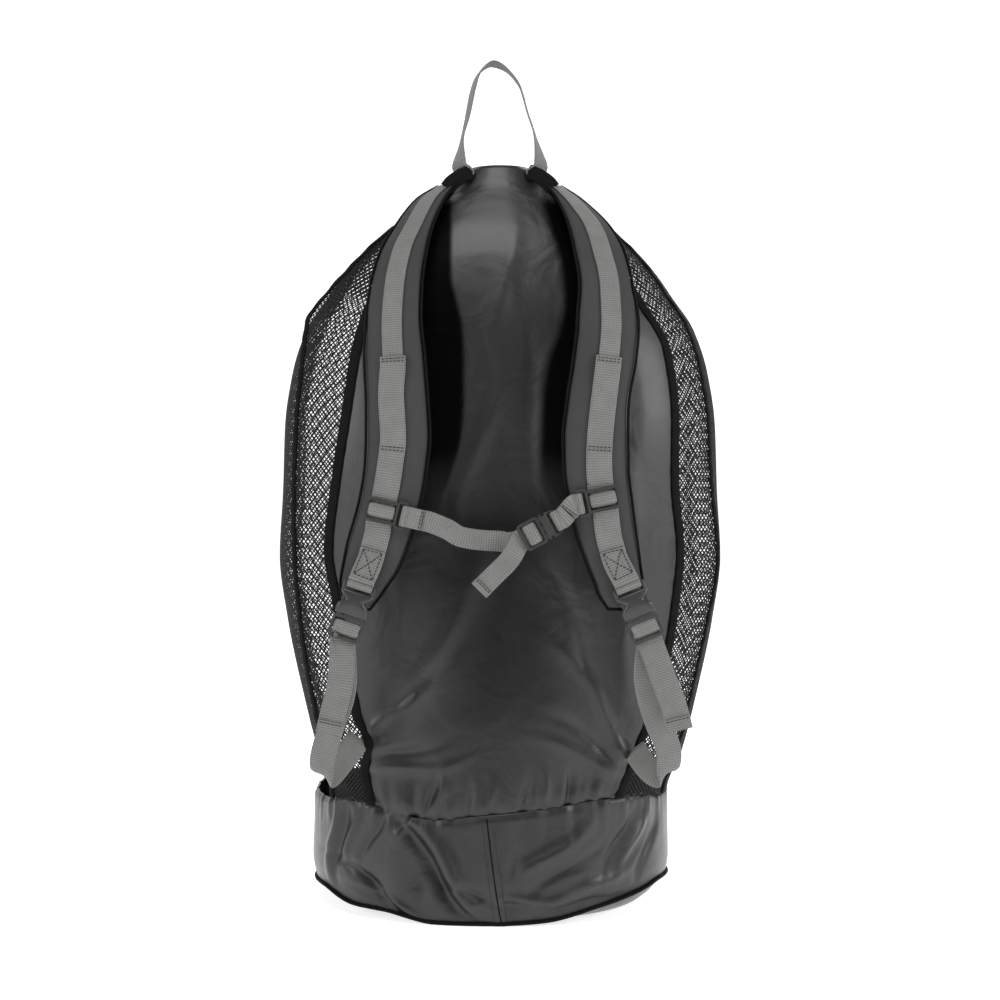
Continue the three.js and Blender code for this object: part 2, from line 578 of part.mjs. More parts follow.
// The floor is a shallow dish: flat where it stands, and rising with the band at its edge
function floorFace(lower) {
  const thick = lower ? 0 : FLOOR_WALL;
  const ring = (share) => BASE_TURNS.map((turn) => {
    const low = baseEdge(turn, 'lift');
    const rim = offWall(turn, low + FLOOR_WALL / 2, -BASE_WALL - 2 * SEAM_GAP);
    const rise = Math.max(share - FLOOR_FLAT_SHARE, 0) / (1 - FLOOR_FLAT_SHARE);
    return new THREE.Vector3(rim.x * share, rim.y * share, low * rise * rise + thick);
  });
  return [ring(1), ring(0.9), ring(FLOOR_FLAT_SHARE)];
}

// The flat middle of the floor is closed by a fan to its centre
function floorGeometry() {
  const positions = [];
  const indices = [];
  const count = BASE_TURNS.length;
  const faces = [floorFace(true), floorFace(false)];
  const add = (point) => positions.push(point.x, point.y, point.z) / 3 - 1;
  const corners = faces.map((rings) => rings.map((ring) => ring.map(add)));
  const centres = [add(new THREE.Vector3(0, 0, 0)), add(new THREE.Vector3(0, 0, FLOOR_WALL))];
  for (let i = 0; i < count; i += 1) {
    const next = (i + 1) % count;
    corners.forEach((rings, face) => {
      const order = (a, b, c) => (face === 0 ? indices.push(a, b, c) : indices.push(a, c, b));
      for (let r = 0; r < rings.length - 1; r += 1) {
        order(rings[r][i], rings[r + 1][i], rings[r][next]);
        order(rings[r][next], rings[r + 1][i], rings[r + 1][next]);
      }
      const inner = rings[rings.length - 1];
      order(inner[i], centres[face], inner[next]);
    });
    const [low, high] = [corners[0][0], corners[1][0]];
    indices.push(low[i], low[next], high[i], low[next], high[next], high[i]);
  }
  return closedGeometry(positions, indices);
}
addMesh('base_floor', floorGeometry(), CLOTH);

// Ring of round section that lies against the foot of the band
function rimGeometry() {
  const sides = 6;
  const radius = RIM_DIAMETER / 2;
  const rows = BASE_TURNS.map((turn) => {
    const height = baseEdge(turn, 'lift') + radius + SEAM_GAP;
    const spine = offWall(turn, height, radius + SEAM_GAP);
    const out = spine.clone().sub(wallSpot(turn, height)).normalize();
    const up = new THREE.Vector3(0, 0, 1);
    return Array.from({ length: sides }, (_, n) => {
      const angle = 2 * Math.PI * n / sides;
      return spine.clone().addScaledVector(out, radius * Math.cos(angle))
        .addScaledVector(up, radius * Math.sin(angle));
    });
  });
  const positions = [];
  const indices = [];
  const corners = rows.map((row) => row.map((p) => positions.push(p.x, p.y, p.z) / 3 - 1));
  const count = rows.length;
  for (let j = 0; j < count; j += 1) {
    for (let i = 0; i < sides; i += 1) {
      const a = corners[j][i];
      const b = corners[j][(i + 1) % sides];
      const c = corners[(j + 1) % count][(i + 1) % sides];
      const d = corners[(j + 1) % count][i];
      indices.push(a, b, c, a, c, d);
    }
  }
  return closedGeometry(positions, indices);
}
addMesh('base_rim', rimGeometry(), TAPE);

// Webbing: a flat strap through stations, each with its place and the direction of its width
function strapGeometry(stations, width, thickness) {
  const rows = [[], []];
  stations.forEach((station, n) => {
    const before = stations[Math.max(n - 1, 0)].at;
    const after = stations[Math.min(n + 1, stations.length - 1)].at;
    const along = after.clone().sub(before).normalize();
    const across = station.across.clone();
    if (!station.flush) across.addScaledVector(along, -across.dot(along)).normalize();
    const out = across.clone().cross(along);
    const half = width / 2;
    [thickness / 2, -thickness / 2].forEach((lift, face) => {
      rows[face].push([-half, half].map((reach) => station.at.clone()
        .addScaledVector(across, reach).addScaledVector(out, lift)));
    });
  });
  return sheetGeometry(rows[0], rows[1]);
}

const crossLine = (degrees) => new THREE.Vector3(
  Math.cos(radians(degrees)), 0, -Math.sin(radians(degrees)));
const handStation = (row) => ({
  at: new THREE.Vector3(row.x * BODY_HALF_WIDTH, -row.depth * BODY_HALF_DEPTH,
    row.height * BODY_HEIGHT),
  across: crossLine(row.turn),
});

// Extra stations on a smooth curve through the given ones
function smoothStations(stations, perSpan) {
  const places = new THREE.CatmullRomCurve3(stations.map((s) => s.at), false, 'centripetal');
  const count = (stations.length - 1) * perSpan;
  return Array.from({ length: count + 1 }, (_, n) => {
    const t = n / count;
    const spot = t * (stations.length - 1);
    const i = Math.min(Math.floor(spot), stations.length - 2);
    const across = stations[i].across.clone().lerp(stations[i + 1].across, spot - i).normalize();
    return { at: places.getPoint(t), across };
  });
}

// Carry handle: a loop of webbing seen nearly edge on, with its feet flat on the body's top corners
const handleFoot = (side, share) => {
  const turn = sign[side] * radians(HANDLE_FOOT_TURN);
  const height = share * BODY_HEIGHT;
  const aside = wallSpot(turn + sign[side] * 0.05, height).sub(wallSpot(turn, height));
  return { at: offWall(turn, height, HANDLE_THICKNESS / 2 + 2 * SEAM_GAP), across: aside };
};
const handleLoop = HANDLE_LOOP.map((row) => {
  const lean = Math.sign(row.x) || 1;
  return {
    at: handStation(row).at,
    across: new THREE.Vector3(lean * Math.cos(radians(row.turn)), Math.sin(radians(row.turn)), 0),
  };
});
const handleStations = [
  ...HANDLE_FOOT_SHARES.map((share) => handleFoot('left', share)),
  ...handleLoop,
  ...[...HANDLE_FOOT_SHARES].reverse().map((share) => handleFoot('right', share)),
];
addMesh('carry_handle', strapGeometry(smoothStations(handleStations, 2), HANDLE_WIDTH,
  HANDLE_THICKNESS), WEBBING);

// Shoulder pads
const PAD_TABLE = [...PAD_ROWS].reverse();
// A point of a pad: reach runs across it from -1, the inner edge, to 1, the outer edge, and
// lift from -1, the face on the bag, to 1, the face towards -Y
function padPoint(side, height, reach, lift) {
  const read = (column) => readTable(PAD_TABLE, 'height', height / BODY_HEIGHT, column);
  const centre = sign[side] * BODY_HALF_WIDTH * read(`${side}At`);
  const half = PAD_WIDTH * read(`${side}Wide`) / 2;
  const crown = PAD_EDGE_THICKNESS + (PAD_THICKNESS - PAD_EDGE_THICKNESS)
    * (1 - Math.min(Math.abs(reach), 1) ** 4);
  const back = PAD_WIDTH * read('turn') * (reach + 1) / 2;
  return new THREE.Vector3(centre + sign[side] * half * reach,
    -BODY_HALF_DEPTH * read('depth') + back - lift * crown / 2, height);
}
const PAD_TOP = PAD_ROWS[0].height * BODY_HEIGHT;
const PAD_TIP = PAD_ROWS[PAD_ROWS.length - 1].height * BODY_HEIGHT;
const PAD_STEPS = 18;
const padHeight = (n) => PAD_TOP + (PAD_TIP - PAD_TOP) * n / PAD_STEPS;
const PAD_REACHES = [-1, -0.8, -0.35, 0.35, 0.8, 1];
for (const side of ['left', 'right']) {
  const face = (lift) => Array.from({ length: PAD_STEPS + 1 },
    (_, n) => PAD_REACHES.map((reach) => padPoint(side, padHeight(n), reach, lift)));
  addMesh(`shoulder_pad_${side}`, sheetGeometry(face(1), face(-1)), PAD_CLOTH);

  // Binding tape round the pad's edge: down the inner edge, round the tip and up the outer edge
  const edge = [];
  for (let n = 0; n <= PAD_STEPS; n += 1) edge.push([n, -1]);
  for (let n = PAD_STEPS; n >= 0; n -= 1) edge.push([n, 1]);
  const spine = edge.map(([n, reach]) => padPoint(side, padHeight(n), reach, 0));
  const rows = [[], []];
  spine.forEach((at, n) => {
    const before = spine[Math.max(n - 1, 0)];
    const after = spine[Math.min(n + 1, spine.length - 1)];
    const along = after.clone().sub(before).normalize();
    const towards = new THREE.Vector3(0, -1, 0);
    const out = along.clone().cross(towards).multiplyScalar(sign[side]).normalize();
    const near = 2 * SEAM_GAP;
    [near, near + PAD_BINDING_THICKNESS].forEach((distance, k) => {
      rows[k].push([-1, 1].map((lift) => at.clone().addScaledVector(out, distance)
        .addScaledVector(towards, lift * PAD_BINDING_WIDTH / 2)));
    });
  });
  addMesh(`pad_binding_${side}`, sheetGeometry(rows[0], rows[1]), TAPE);
}

// Local frame of a plastic part: X along its slots, Y up the strap, Z towards the viewer
function partFrame(at, tilt) {
  const across = crossLine(tilt);
  const out = new THREE.Vector3(0, -1, 0);
  const up = out.clone().cross(across);
  return new THREE.Matrix4().makeBasis(across, up, out).setPosition(at);
}
const inFrame = (frame, y, z) => ({
  at: new THREE.Vector3(0, y, z).applyMatrix4(frame),
  across: new THREE.Vector3().setFromMatrixColumn(frame, 0),
});

// Webbing threaded from behind the upper bar, over the middle bar, to behind the lower bar
const THREAD_BACK = PLASTIC_THICKNESS / 2 + WEB_THICKNESS / 2 + SEAM_GAP + 0.1;
const SLOT_EDGE = BAR_HALF + SLOT_HEIGHT;
const thread = [
  [SLOT_EDGE + BAR_HEIGHT + 1, -THREAD_BACK],
  [SLOT_EDGE + 0.6, -THREAD_BACK],
  [SLOT_EDGE - 1.2, -THREAD_BACK + 0.3],
  [BAR_HALF + 1.2, THREAD_BACK - 0.3],
  [BAR_HALF - 0.4, THREAD_BACK],
];
const threadDown = (frame) => [
  ...thread.map(([y, z]) => inFrame(frame, y, z)),
  ...[...thread].reverse().map(([y, z]) => inFrame(frame, -y, z)),
];

const padFront = (side, height, reach) => padPoint(side, height, reach, 1);
function webReach(side, height) {
  const read = (column) => readTable(PAD_TABLE, 'height', height / BODY_HEIGHT, column);
  return 2 * read(`${side}Web`) / read(`${side}Wide`);
}
// A station of webbing that lies on the pad's front, layer by layer
function webOnPad(side, height, layer) {
  const reach = webReach(side, height);
  const at = padFront(side, height, reach);
  const inner = padFront(side, height, reach - 0.3);
  const outer = padFront(side, height, reach + 0.3);
  at.y = Math.min(at.y, (inner.y + outer.y) / 2);
  at.y -= SEAM_GAP + WEB_THICKNESS / 2 + layer * (WEB_THICKNESS + SEAM_GAP) + WEB_LIFT;
  return { at, across: outer.sub(inner).multiplyScalar(sign[side]).normalize() };
}
const sliderFrame = {};
const buckleFrame = {};
for (const side of ['left', 'right']) {
  const slider = SLIDERS[side];
  const onPad = webOnPad(side, slider.height * BODY_HEIGHT, 0);
  const sliderAt = onPad.at.clone();
  sliderAt.y -= THREAD_BACK;
  sliderFrame[side] = partFrame(sliderAt, slider.tilt);
  const buckle = BUCKLES[side];
  const buckleAt = new THREE.Vector3(buckle.x * BODY_HALF_WIDTH,
    -buckle.depth * BODY_HALF_DEPTH, buckle.height * BODY_HEIGHT);
  buckleFrame[side] = partFrame(buckleAt, buckle.tilt);
}

// Upper webbing on each pad, under the head of the lower webbing
for (const side of ['left', 'right']) {
  const top = PAD_ROWS[0].height - 0.004;
  const stations = Array.from({ length: 15 }, (_, n) => webOnPad(side,
    BODY_HEIGHT * (top + (UPPER_WEB_END - top) * n / 14), 0));
  addMesh(`upper_webbing_${side}`, strapGeometry(stations, UPPER_WEB_WIDTH, WEB_THICKNESS),
    WEBBING);
}

// Lower webbing: down the pad, through the slider, round the buckle's bar and back up to its
// sewn end
const LOOP_RADIUS = LOOP_BAR_HALF * Math.SQRT2 + WEB_THICKNESS / 2 + SEAM_GAP;
const ROUND_BAR = [-150, -110, -70, -35, 0, 35, 70, 110, 150];
// Stations round a bar from behind it to its front, or the other way round when way is -1
const roundBar = (frame, y, radius, way = 1, flip = 1) => ROUND_BAR.map((angle) => {
  const turn = radians(way * angle);
  const station = inFrame(frame, y - radius * Math.cos(turn), radius * Math.sin(turn));
  station.across.multiplyScalar(flip);
  return station;
});
for (const side of ['left', 'right']) {
  const aboveSlider = SLIDERS[side].height + SLIDER_CLEAR;
  const stations = LOWER_WEB_ABOVE.map((row) => webOnPad(side,
    Math.max(row.height, aboveSlider) * BODY_HEIGHT, row.layer));
  stations.push(...threadDown(sliderFrame[side]));
  stations.push(...LOWER_WEB_BELOW.map((row) => webOnPad(side, row.height * BODY_HEIGHT,
    row.layer)));
  const frame = buckleFrame[side];
  stations.push(inFrame(frame, BUCKLE_LENGTH + 2 * LOOP_RADIUS, -LOOP_RADIUS));
  stations.push(...roundBar(frame, BUCKLE_LENGTH, LOOP_RADIUS));
  stations.push(inFrame(frame, BUCKLE_LENGTH + 2 * LOOP_RADIUS, LOOP_RADIUS));
  stations.push(...LOWER_WEB_RETURN.map((row) => webOnPad(side, row.height * BODY_HEIGHT,
    row.layer)));
  addMesh(`lower_webbing_${side}`, strapGeometry(stations, SHOULDER_WEB_WIDTH, WEB_THICKNESS),
    WEBBING);
}

// Black pieces that carry the pads from the panel's top corners
for (const side of ['left', 'right']) {
  const stations = ANCHOR_RUN.map((row) => handStation({ ...row, x: sign[side] * row.x,
    turn: sign[side] * row.turn }));
  const low = padPoint(side, PAD_TOP, ANCHOR_STOP.reach, 0);
  low.z += ANCHOR_STOP.upward * ANCHOR_THICKNESS;
  stations.push({ at: low, across: stations[0].across });
  addMesh(`strap_anchor_${side}`, strapGeometry(stations, ANCHOR_WIDTH, ANCHOR_THICKNESS), TAPE);
}

// Plastic parts are extruded outlines with their openings cut by solids
const toManifold = (geometry) => {
  const source = geometry.index ? geometry.toNonIndexed() : geometry;
  const values = source.attributes.position.array;
  const seen = new Map();
  const verts = [];
  const tris = [];
  for (let n = 0; n < values.length; n += 3) {
    const key = [0, 1, 2].map((k) => Math.round(values[n + k] * 1e4)).join();
    if (!seen.has(key)) seen.set(key, verts.push(values[n], values[n + 1], values[n + 2]) / 3 - 1);
    tris.push(seen.get(key));
  }
  return new wasm.Manifold(new wasm.Mesh({ numProp: 3, vertProperties: new Float32Array(verts),
    triVerts: new Uint32Array(tris) }));
};
const fromManifold = (solid) => {
  const mesh = solid.getMesh();
  return closedGeometry(Array.from(mesh.vertProperties), Array.from(mesh.triVerts));
};
const block = (width, height, depth, x, y, z) => toManifold(
  new THREE.BoxGeometry(width, height, depth).translate(x, y, z));

// Plate with its four corners cut off, from half width, bottom and top
function cornerPlate(lowHalf, highHalf, bottom, top, thickness, corner) {
  const shape = new THREE.Shape();
  shape.moveTo(-lowHalf + corner, bottom);
  shape.lineTo(lowHalf - corner, bottom);
  shape.lineTo(lowHalf, bottom + corner);
  shape.lineTo(highHalf, top - corner);
  shape.lineTo(highHalf - corner, top);
  shape.lineTo(-highHalf + corner, top);
  shape.lineTo(-highHalf, top - corner);
  shape.lineTo(-lowHalf, bottom + corner);
  const geometry = new THREE.ExtrudeGeometry(shape, { depth: thickness, bevelEnabled: false });
  return toManifold(geometry.translate(0, 0, -thickness / 2));
}

const cutSlots = (solid, width) => [1, -1].reduce((body, way) => body.subtract(
  block(width + 2 * SLOT_SIDE_ROOM, SLOT_HEIGHT, 4 * PLASTIC_THICKNESS, 0,
    way * (BAR_HALF + SLOT_HEIGHT / 2), 0)), solid);
const frameHalf = (width) => width / 2 + SLOT_SIDE_ROOM + FRAME_SIDE;
const plateTop = SLOT_EDGE + BAR_HEIGHT;

// Sternum sliders: two slots for the shoulder webbing and an inner eye for the sternum strap
for (const side of ['left', 'right']) {
  const half = frameHalf(SHOULDER_WEB_WIDTH);
  const inward = -sign[side];
  const base = cutSlots(cornerPlate(half, half, -plateTop, plateTop, PLASTIC_THICKNESS, CORNER),
    SHOULDER_WEB_WIDTH);
  const reach = EYE_START + EYE_SLOT + EYE_BAR;
  const eyeTall = STERNUM_WEB_WIDTH + 2 * SLOT_SIDE_ROOM;
  const ear = block(reach + 1, eyeTall + 5, PLASTIC_THICKNESS,
    inward * (half + (reach - 1) / 2), 0, 0)
    .subtract(block(EYE_SLOT, eyeTall, 4 * PLASTIC_THICKNESS,
      inward * (half + EYE_START + EYE_SLOT / 2), 0, 0));
  const geometry = fromManifold(base.add(ear));
  addMesh(`sternum_slider_${side}`, geometry.applyMatrix4(sliderFrame[side]), PLASTIC);
}

// Side-release buckle: a plug with two slots and three tongues, in a hollow socket whose far bar
// carries a loop of webbing
function buckleParts(width, length) {
  const half = frameHalf(width);
  const mouth = plateTop + 1;
  const socketEnd = length - LOOP_BAR_HALF - SLOT_HEIGHT + 1;
  const tongueEnd = socketEnd - SOCKET_WALL - 1.5;
  const hollowTall = SOCKET_THICKNESS - 2 * SOCKET_WALL;
  const hollowHalf = half - SOCKET_WALL;
  const tongueTall = hollowTall - 1;
  const top = length + LOOP_BAR_HALF;
  const socket = cornerPlate(half, half - 2, mouth, top, SOCKET_THICKNESS, 2)
    .subtract(block(2 * hollowHalf, tongueEnd + 1 - mouth + 2, hollowTall, 0,
      (mouth - 2 + tongueEnd + 1) / 2, 0))
    .subtract(block(width + 2 * SLOT_SIDE_ROOM, length - LOOP_BAR_HALF - socketEnd,
      2 * SOCKET_THICKNESS, 0, (length - LOOP_BAR_HALF + socketEnd) / 2, 0))
    .subtract(block(2 * half, 2 * LOOP_BAR_HALF + 4, SOCKET_THICKNESS, 0, length,
      SOCKET_THICKNESS / 2 + LOOP_BAR_HALF))
    .subtract(block(2 * half, 2 * LOOP_BAR_HALF + 4, SOCKET_THICKNESS, 0, length,
      -SOCKET_THICKNESS / 2 - LOOP_BAR_HALF));
  const windows = [1, -1].reduce((body, way) => body.subtract(block(2 * WINDOW_DEPTH,
    WINDOW_SHARE * (socketEnd - mouth), 2 * SOCKET_THICKNESS, way * half,
    (mouth + socketEnd) / 2, 0)), socket);
  const plate = cutSlots(cornerPlate(half, half, -plateTop, plateTop, PLASTIC_THICKNESS, CORNER),
    width);
  const tongues = [0, 1, -1].reduce((body, way) => body.add(block(
    way ? SIDE_TONGUE_WIDTH : MIDDLE_TONGUE_WIDTH, tongueEnd - plateTop + 1, tongueTall,
    way * (hollowHalf - TONGUE_INSET), (tongueEnd + plateTop - 1) / 2, 0)), plate);
  return { socket: fromManifold(windows), plug: fromManifold(tongues) };
}
for (const side of ['left', 'right']) {
  const { socket, plug } = buckleParts(SHOULDER_WEB_WIDTH, BUCKLE_LENGTH);
  addMesh(`buckle_socket_${side}`, socket.applyMatrix4(buckleFrame[side]), PLASTIC);
  addMesh(`buckle_plug_${side}`, plug.applyMatrix4(buckleFrame[side]), PLASTIC);
}

// Lower straps: from the bag's lower edge, up behind the plug, over its middle bar and down
// again as a free tail in front
const lowerRuns = {
  left: { sewn: LEFT_SEWN, rear: LEFT_REAR, tail: LEFT_TAIL },
  right: { sewn: RIGHT_SEWN, rear: RIGHT_REAR, tail: RIGHT_TAIL },
};
// Sewn end: a station whose width lies flat on the tape that covers the panel's edge
const SEWN_DISTANCE = TAPE_CLEARANCE + BINDING_THICKNESS + 3 * SEAM_GAP + WEB_THICKNESS / 2;
function sewnStation(row) {
  const height = row.height * BODY_HEIGHT;
  const turn = turnAtX(row.x * BODY_HALF_WIDTH, height);
  const at = offWall(turn, height, SEWN_DISTANCE);
  const out = at.clone().sub(offWall(turn, height, 0)).normalize();
  const across = crossLine(row.turn);
  return { at, across: across.addScaledVector(out, -across.dot(out)).normalize(), flush: true };
}
// Stations up behind a plug, over its middle bar and down behind its lower bar
const REAR_BACK = -THREAD_BACK - 2 * WEB_THICKNESS - 1.2;
const threadReturn = (frame) => [
  inFrame(frame, -SLOT_EDGE - BAR_HEIGHT - 2, REAR_BACK - 0.5),
  inFrame(frame, -4, REAR_BACK),
  inFrame(frame, BAR_HALF + 1.5, REAR_BACK + 1),
  inFrame(frame, BAR_HALF + 3.3, -THREAD_BACK),
  inFrame(frame, BAR_HALF + 3.3, 0),
  inFrame(frame, BAR_HALF + 1.2, THREAD_BACK - 0.3),
  inFrame(frame, BAR_HALF - 0.4, THREAD_BACK),
  ...[...thread].reverse().map(([y, z]) => inFrame(frame, -y, z)),
];
for (const side of ['left', 'right']) {
  const { sewn, rear, tail } = lowerRuns[side];
  const rearStations = [sewnStation(sewn),
    ...smoothStations([...rear].reverse().map(handStation), 2)];
  const stations = [...rearStations, ...threadReturn(buckleFrame[side]),
    ...tail.map(handStation)];
  addMesh(`lower_strap_${side}`, strapGeometry(stations, SHOULDER_WEB_WIDTH, WEB_THICKNESS),
    WEBBING);
}

// Sternum buckle and its two straps
const chestAt = new THREE.Vector3(STERNUM_BUCKLE.x * BODY_HALF_WIDTH,
  -STERNUM_BUCKLE.depth * BODY_HALF_DEPTH, STERNUM_BUCKLE.height * BODY_HEIGHT);
const chestFrame = partFrame(chestAt, STERNUM_BUCKLE.tilt);
const chest = buckleParts(STERNUM_WEB_WIDTH, STERNUM_BUCKLE_LENGTH);
addMesh('sternum_buckle_socket', chest.socket.applyMatrix4(chestFrame), PLASTIC);
addMesh('sternum_buckle_plug', chest.plug.applyMatrix4(chestFrame), PLASTIC);

// Eyes of the sliders, with Y towards the sternum buckle
const EYE_RADIUS = Math.hypot(EYE_BAR, PLASTIC_THICKNESS) / 2 + WEB_THICKNESS / 2 + SEAM_GAP;
function eyeFrame(side) {
  const offset = -sign[side] * (frameHalf(SHOULDER_WEB_WIDTH) + EYE_START + EYE_SLOT
    + EYE_BAR / 2);
  return sliderFrame[side].clone()
    .multiply(new THREE.Matrix4().makeTranslation(offset, 0, 0))
    .multiply(new THREE.Matrix4().makeRotationZ(sign[side] * Math.PI / 2));
}
const FOLD_LIMB = WEB_THICKNESS / 2 + SEAM_GAP;
const leftEye = eyeFrame('left');
const rightEye = eyeFrame('right');
const chestStrap = [
  inFrame(leftEye, STERNUM_FLAP, FOLD_LIMB),
  inFrame(leftEye, STERNUM_FLAP / 2, FOLD_LIMB + 0.6),
  ...roundBar(leftEye, 0, EYE_RADIUS, -1),
  inFrame(leftEye, STERNUM_FLAP / 2, -FOLD_LIMB - 0.6),
  inFrame(leftEye, STERNUM_FLAP, -FOLD_LIMB),
  ...smoothStations(STERNUM_RUN.map(handStation), 2),
  ...threadReturn(chestFrame),
  ...STERNUM_TAIL.map(handStation),
];
addMesh('sternum_strap_left', strapGeometry(chestStrap, STERNUM_WEB_WIDTH, WEB_THICKNESS),
  WEBBING);

// Short strap on the right: one loop round the socket's bar and round the slider's eye
const rightFlap = [0.42, 0.5].map((share) => {
  const from = inFrame(chestFrame, STERNUM_BUCKLE_LENGTH + LOOP_RADIUS, FOLD_LIMB + 0.4);
  const to = inFrame(rightEye, EYE_RADIUS, FOLD_LIMB + 0.4);
  return {
    at: from.at.lerp(to.at, share),
    across: from.across.clone().sub(to.across).normalize(),
  };
});
const eyeSide = (z) => {
  const station = inFrame(rightEye, 2 * EYE_RADIUS, z);
  station.across.negate();
  return station;
};
const shortStrap = [
  rightFlap[0],
  inFrame(chestFrame, STERNUM_BUCKLE_LENGTH + 1.7 * LOOP_RADIUS, FOLD_LIMB + 1),
  ...roundBar(chestFrame, STERNUM_BUCKLE_LENGTH, LOOP_RADIUS, -1),
  inFrame(chestFrame, STERNUM_BUCKLE_LENGTH + 1.7 * LOOP_RADIUS, -FOLD_LIMB - 1),
  eyeSide(-FOLD_LIMB - 1),
  ...roundBar(rightEye, 0, EYE_RADIUS, 1, -1),
  eyeSide(FOLD_LIMB + 1),
  rightFlap[1],
];
addMesh('sternum_strap_right', strapGeometry(shortStrap, STERNUM_WEB_WIDTH, WEB_THICKNESS),
  WEBBING);

export default group;
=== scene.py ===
import math

import bmesh
import bpy
import numpy as np
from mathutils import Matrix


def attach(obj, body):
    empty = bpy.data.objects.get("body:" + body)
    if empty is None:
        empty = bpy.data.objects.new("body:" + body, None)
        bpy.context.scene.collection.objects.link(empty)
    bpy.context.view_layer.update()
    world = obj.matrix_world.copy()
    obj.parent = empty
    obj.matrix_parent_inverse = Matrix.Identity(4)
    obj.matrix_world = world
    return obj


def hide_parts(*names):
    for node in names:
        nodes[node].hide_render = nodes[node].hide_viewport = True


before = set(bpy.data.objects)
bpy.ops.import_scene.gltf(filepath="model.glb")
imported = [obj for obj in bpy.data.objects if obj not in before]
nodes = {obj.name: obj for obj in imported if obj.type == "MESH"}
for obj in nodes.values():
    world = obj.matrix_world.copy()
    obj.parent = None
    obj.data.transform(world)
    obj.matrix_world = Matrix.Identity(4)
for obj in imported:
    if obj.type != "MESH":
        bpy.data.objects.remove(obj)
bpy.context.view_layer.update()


def link_object(name, data):
    made = bpy.data.objects.new(name, data)
    bpy.context.scene.collection.objects.link(made)
    return made


def add_piece(name, verts, faces, material, smooth=True):
    """A mesh object at the origin, made from arrays of points and of corner numbers."""
    mesh = bpy.data.meshes.new(name)
    mesh.from_pydata(np.asarray(verts, float).tolist(), [], np.asarray(faces).tolist())
    mesh.polygons.foreach_set("use_smooth", np.full(len(mesh.polygons), smooth))
    mesh.update()
    mesh.materials.append(material)
    return link_object(name, mesh)


def close_up(piece, ring=0, merge=False):
    """Closes both ends of a piece, each a ring of so many points, or merges the points that meet
    at its tips, and turns every face outwards."""
    work = bmesh.new()
    work.from_mesh(piece.data)
    if merge:
        bmesh.ops.remove_doubles(work, verts=work.verts, dist=1e-6)
    if ring:
        work.verts.ensure_lookup_table()
        work.faces.new(work.verts[:ring])
        work.faces.new(work.verts[-ring:])
    bmesh.ops.recalc_face_normals(work, faces=work.faces)
    work.to_mesh(piece.data)
    work.free()


def hand_over(piece, node=None):
    """Fixes a piece to the bag's one body and hides the CAD node that it replaces."""
    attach(piece, "root")
    if node:
        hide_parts(node)
    return piece


def thicken(piece, thickness):
    """Thickness of a cloth or net, inwards from the surface that its points lie on."""
    solid = piece.modifiers.new("thickness", "SOLIDIFY")
    solid.thickness, solid.offset = thickness, -1


def principled(name, inputs):
    """Material with one Principled shader, set by its inputs' names; returns both."""
    material = bpy.data.materials.new(name)
    material.use_nodes = True
    shader = material.node_tree.nodes["Principled BSDF"]
    for key, value in inputs.items():
        shader.inputs[key].default_value = value
    return material, shader


def shader_node(tree, kind, inputs, **settings):
    """New node with its settings, and with its inputs' values or the sockets that they read."""
    node = tree.nodes.new("ShaderNode" + kind)
    for key, value in settings.items():
        setattr(node, key, value)
    for key, value in inputs.items():
        if isinstance(value, bpy.types.NodeSocket):
            tree.links.new(value, node.inputs[key])
        else:
            node.inputs[key].default_value = value
    return node


# ------------------------------------------------------------
# Camera, floor and studio light. The bag stands on a white sweep, with a soft light at each side,
# one above and one behind it, so that its middle stays darker than its edges.
camera_data = bpy.data.cameras.new("camera")
camera_data.lens = 54
camera = link_object("camera", camera_data)
camera.location = (0, -1.63, 0.422)
camera.rotation_euler = (math.radians(90), 0, 0)
bpy.context.scene.camera = camera
bpy.context.scene.view_settings.view_transform = "Standard"


FLOOR_FRONT, FLOOR_BACK, FLOOR_HALF = -6.0, 3.0, 9.0
SWEEP_RADIUS, BACKDROP_TOP = 1.5, 7.0


def studio_sweep():
    """Floor that runs back and curves up into a backdrop: a straight line, an arc and a line."""
    arc = np.radians(np.linspace(0, 90, 13))
    depth = np.concatenate([[FLOOR_FRONT], FLOOR_BACK + SWEEP_RADIUS * np.sin(arc),
                            [FLOOR_BACK + SWEEP_RADIUS]])
    height = np.concatenate([[0.0], SWEEP_RADIUS - SWEEP_RADIUS * np.cos(arc), [BACKDROP_TOP]])
    across = np.array([-FLOOR_HALF, FLOOR_HALF])
    points = np.stack(np.broadcast_arrays(across[None, :], depth[:, None], height[:, None]), -1)
    row = np.arange(len(depth) - 1)[:, None] * 2
    faces = np.concatenate([row, row + 1, row + 3, row + 2], 1)
    return points.reshape(-1, 3), faces


floor_material = principled("studio_floor", {
    "Base Color": (0.85, 0.85, 0.85, 1), "Roughness": 0.95,
    "Emission Color": (1, 1, 1, 1), "Emission Strength": 0.72})[0]
add_piece("studio_floor", *studio_sweep(), floor_material)

LIGHTS_AIM = (0, 0, 0.42)
SOFT_LIGHTS = [
    {"name": "left_light", "at": (-1.8, -1.1, 1.0), "size": 0.8, "watts": 17},
    {"name": "right_light", "at": (1.8, -1.0, 1.1), "size": 0.8, "watts": 23},
    {"name": "top_light", "at": (-0.2, -0.9, 2.3), "size": 0.8, "watts": 18},
    {"name": "rear_light", "at": (0.3, 2.0, 2.1), "size": 1.8, "watts": 26},
]
for row in SOFT_LIGHTS:
    light_data = bpy.data.lights.new(row["name"], "AREA")
    light_data.size, light_data.energy = row["size"], row["watts"]
    light = link_object(row["name"], light_data)
    light.location = row["at"]
    aim = np.subtract(LIGHTS_AIM, row["at"])
    light.rotation_euler = (math.acos(-aim[2] / np.linalg.norm(aim)), 0,
                            math.atan2(aim[1], aim[0]) - math.pi / 2)

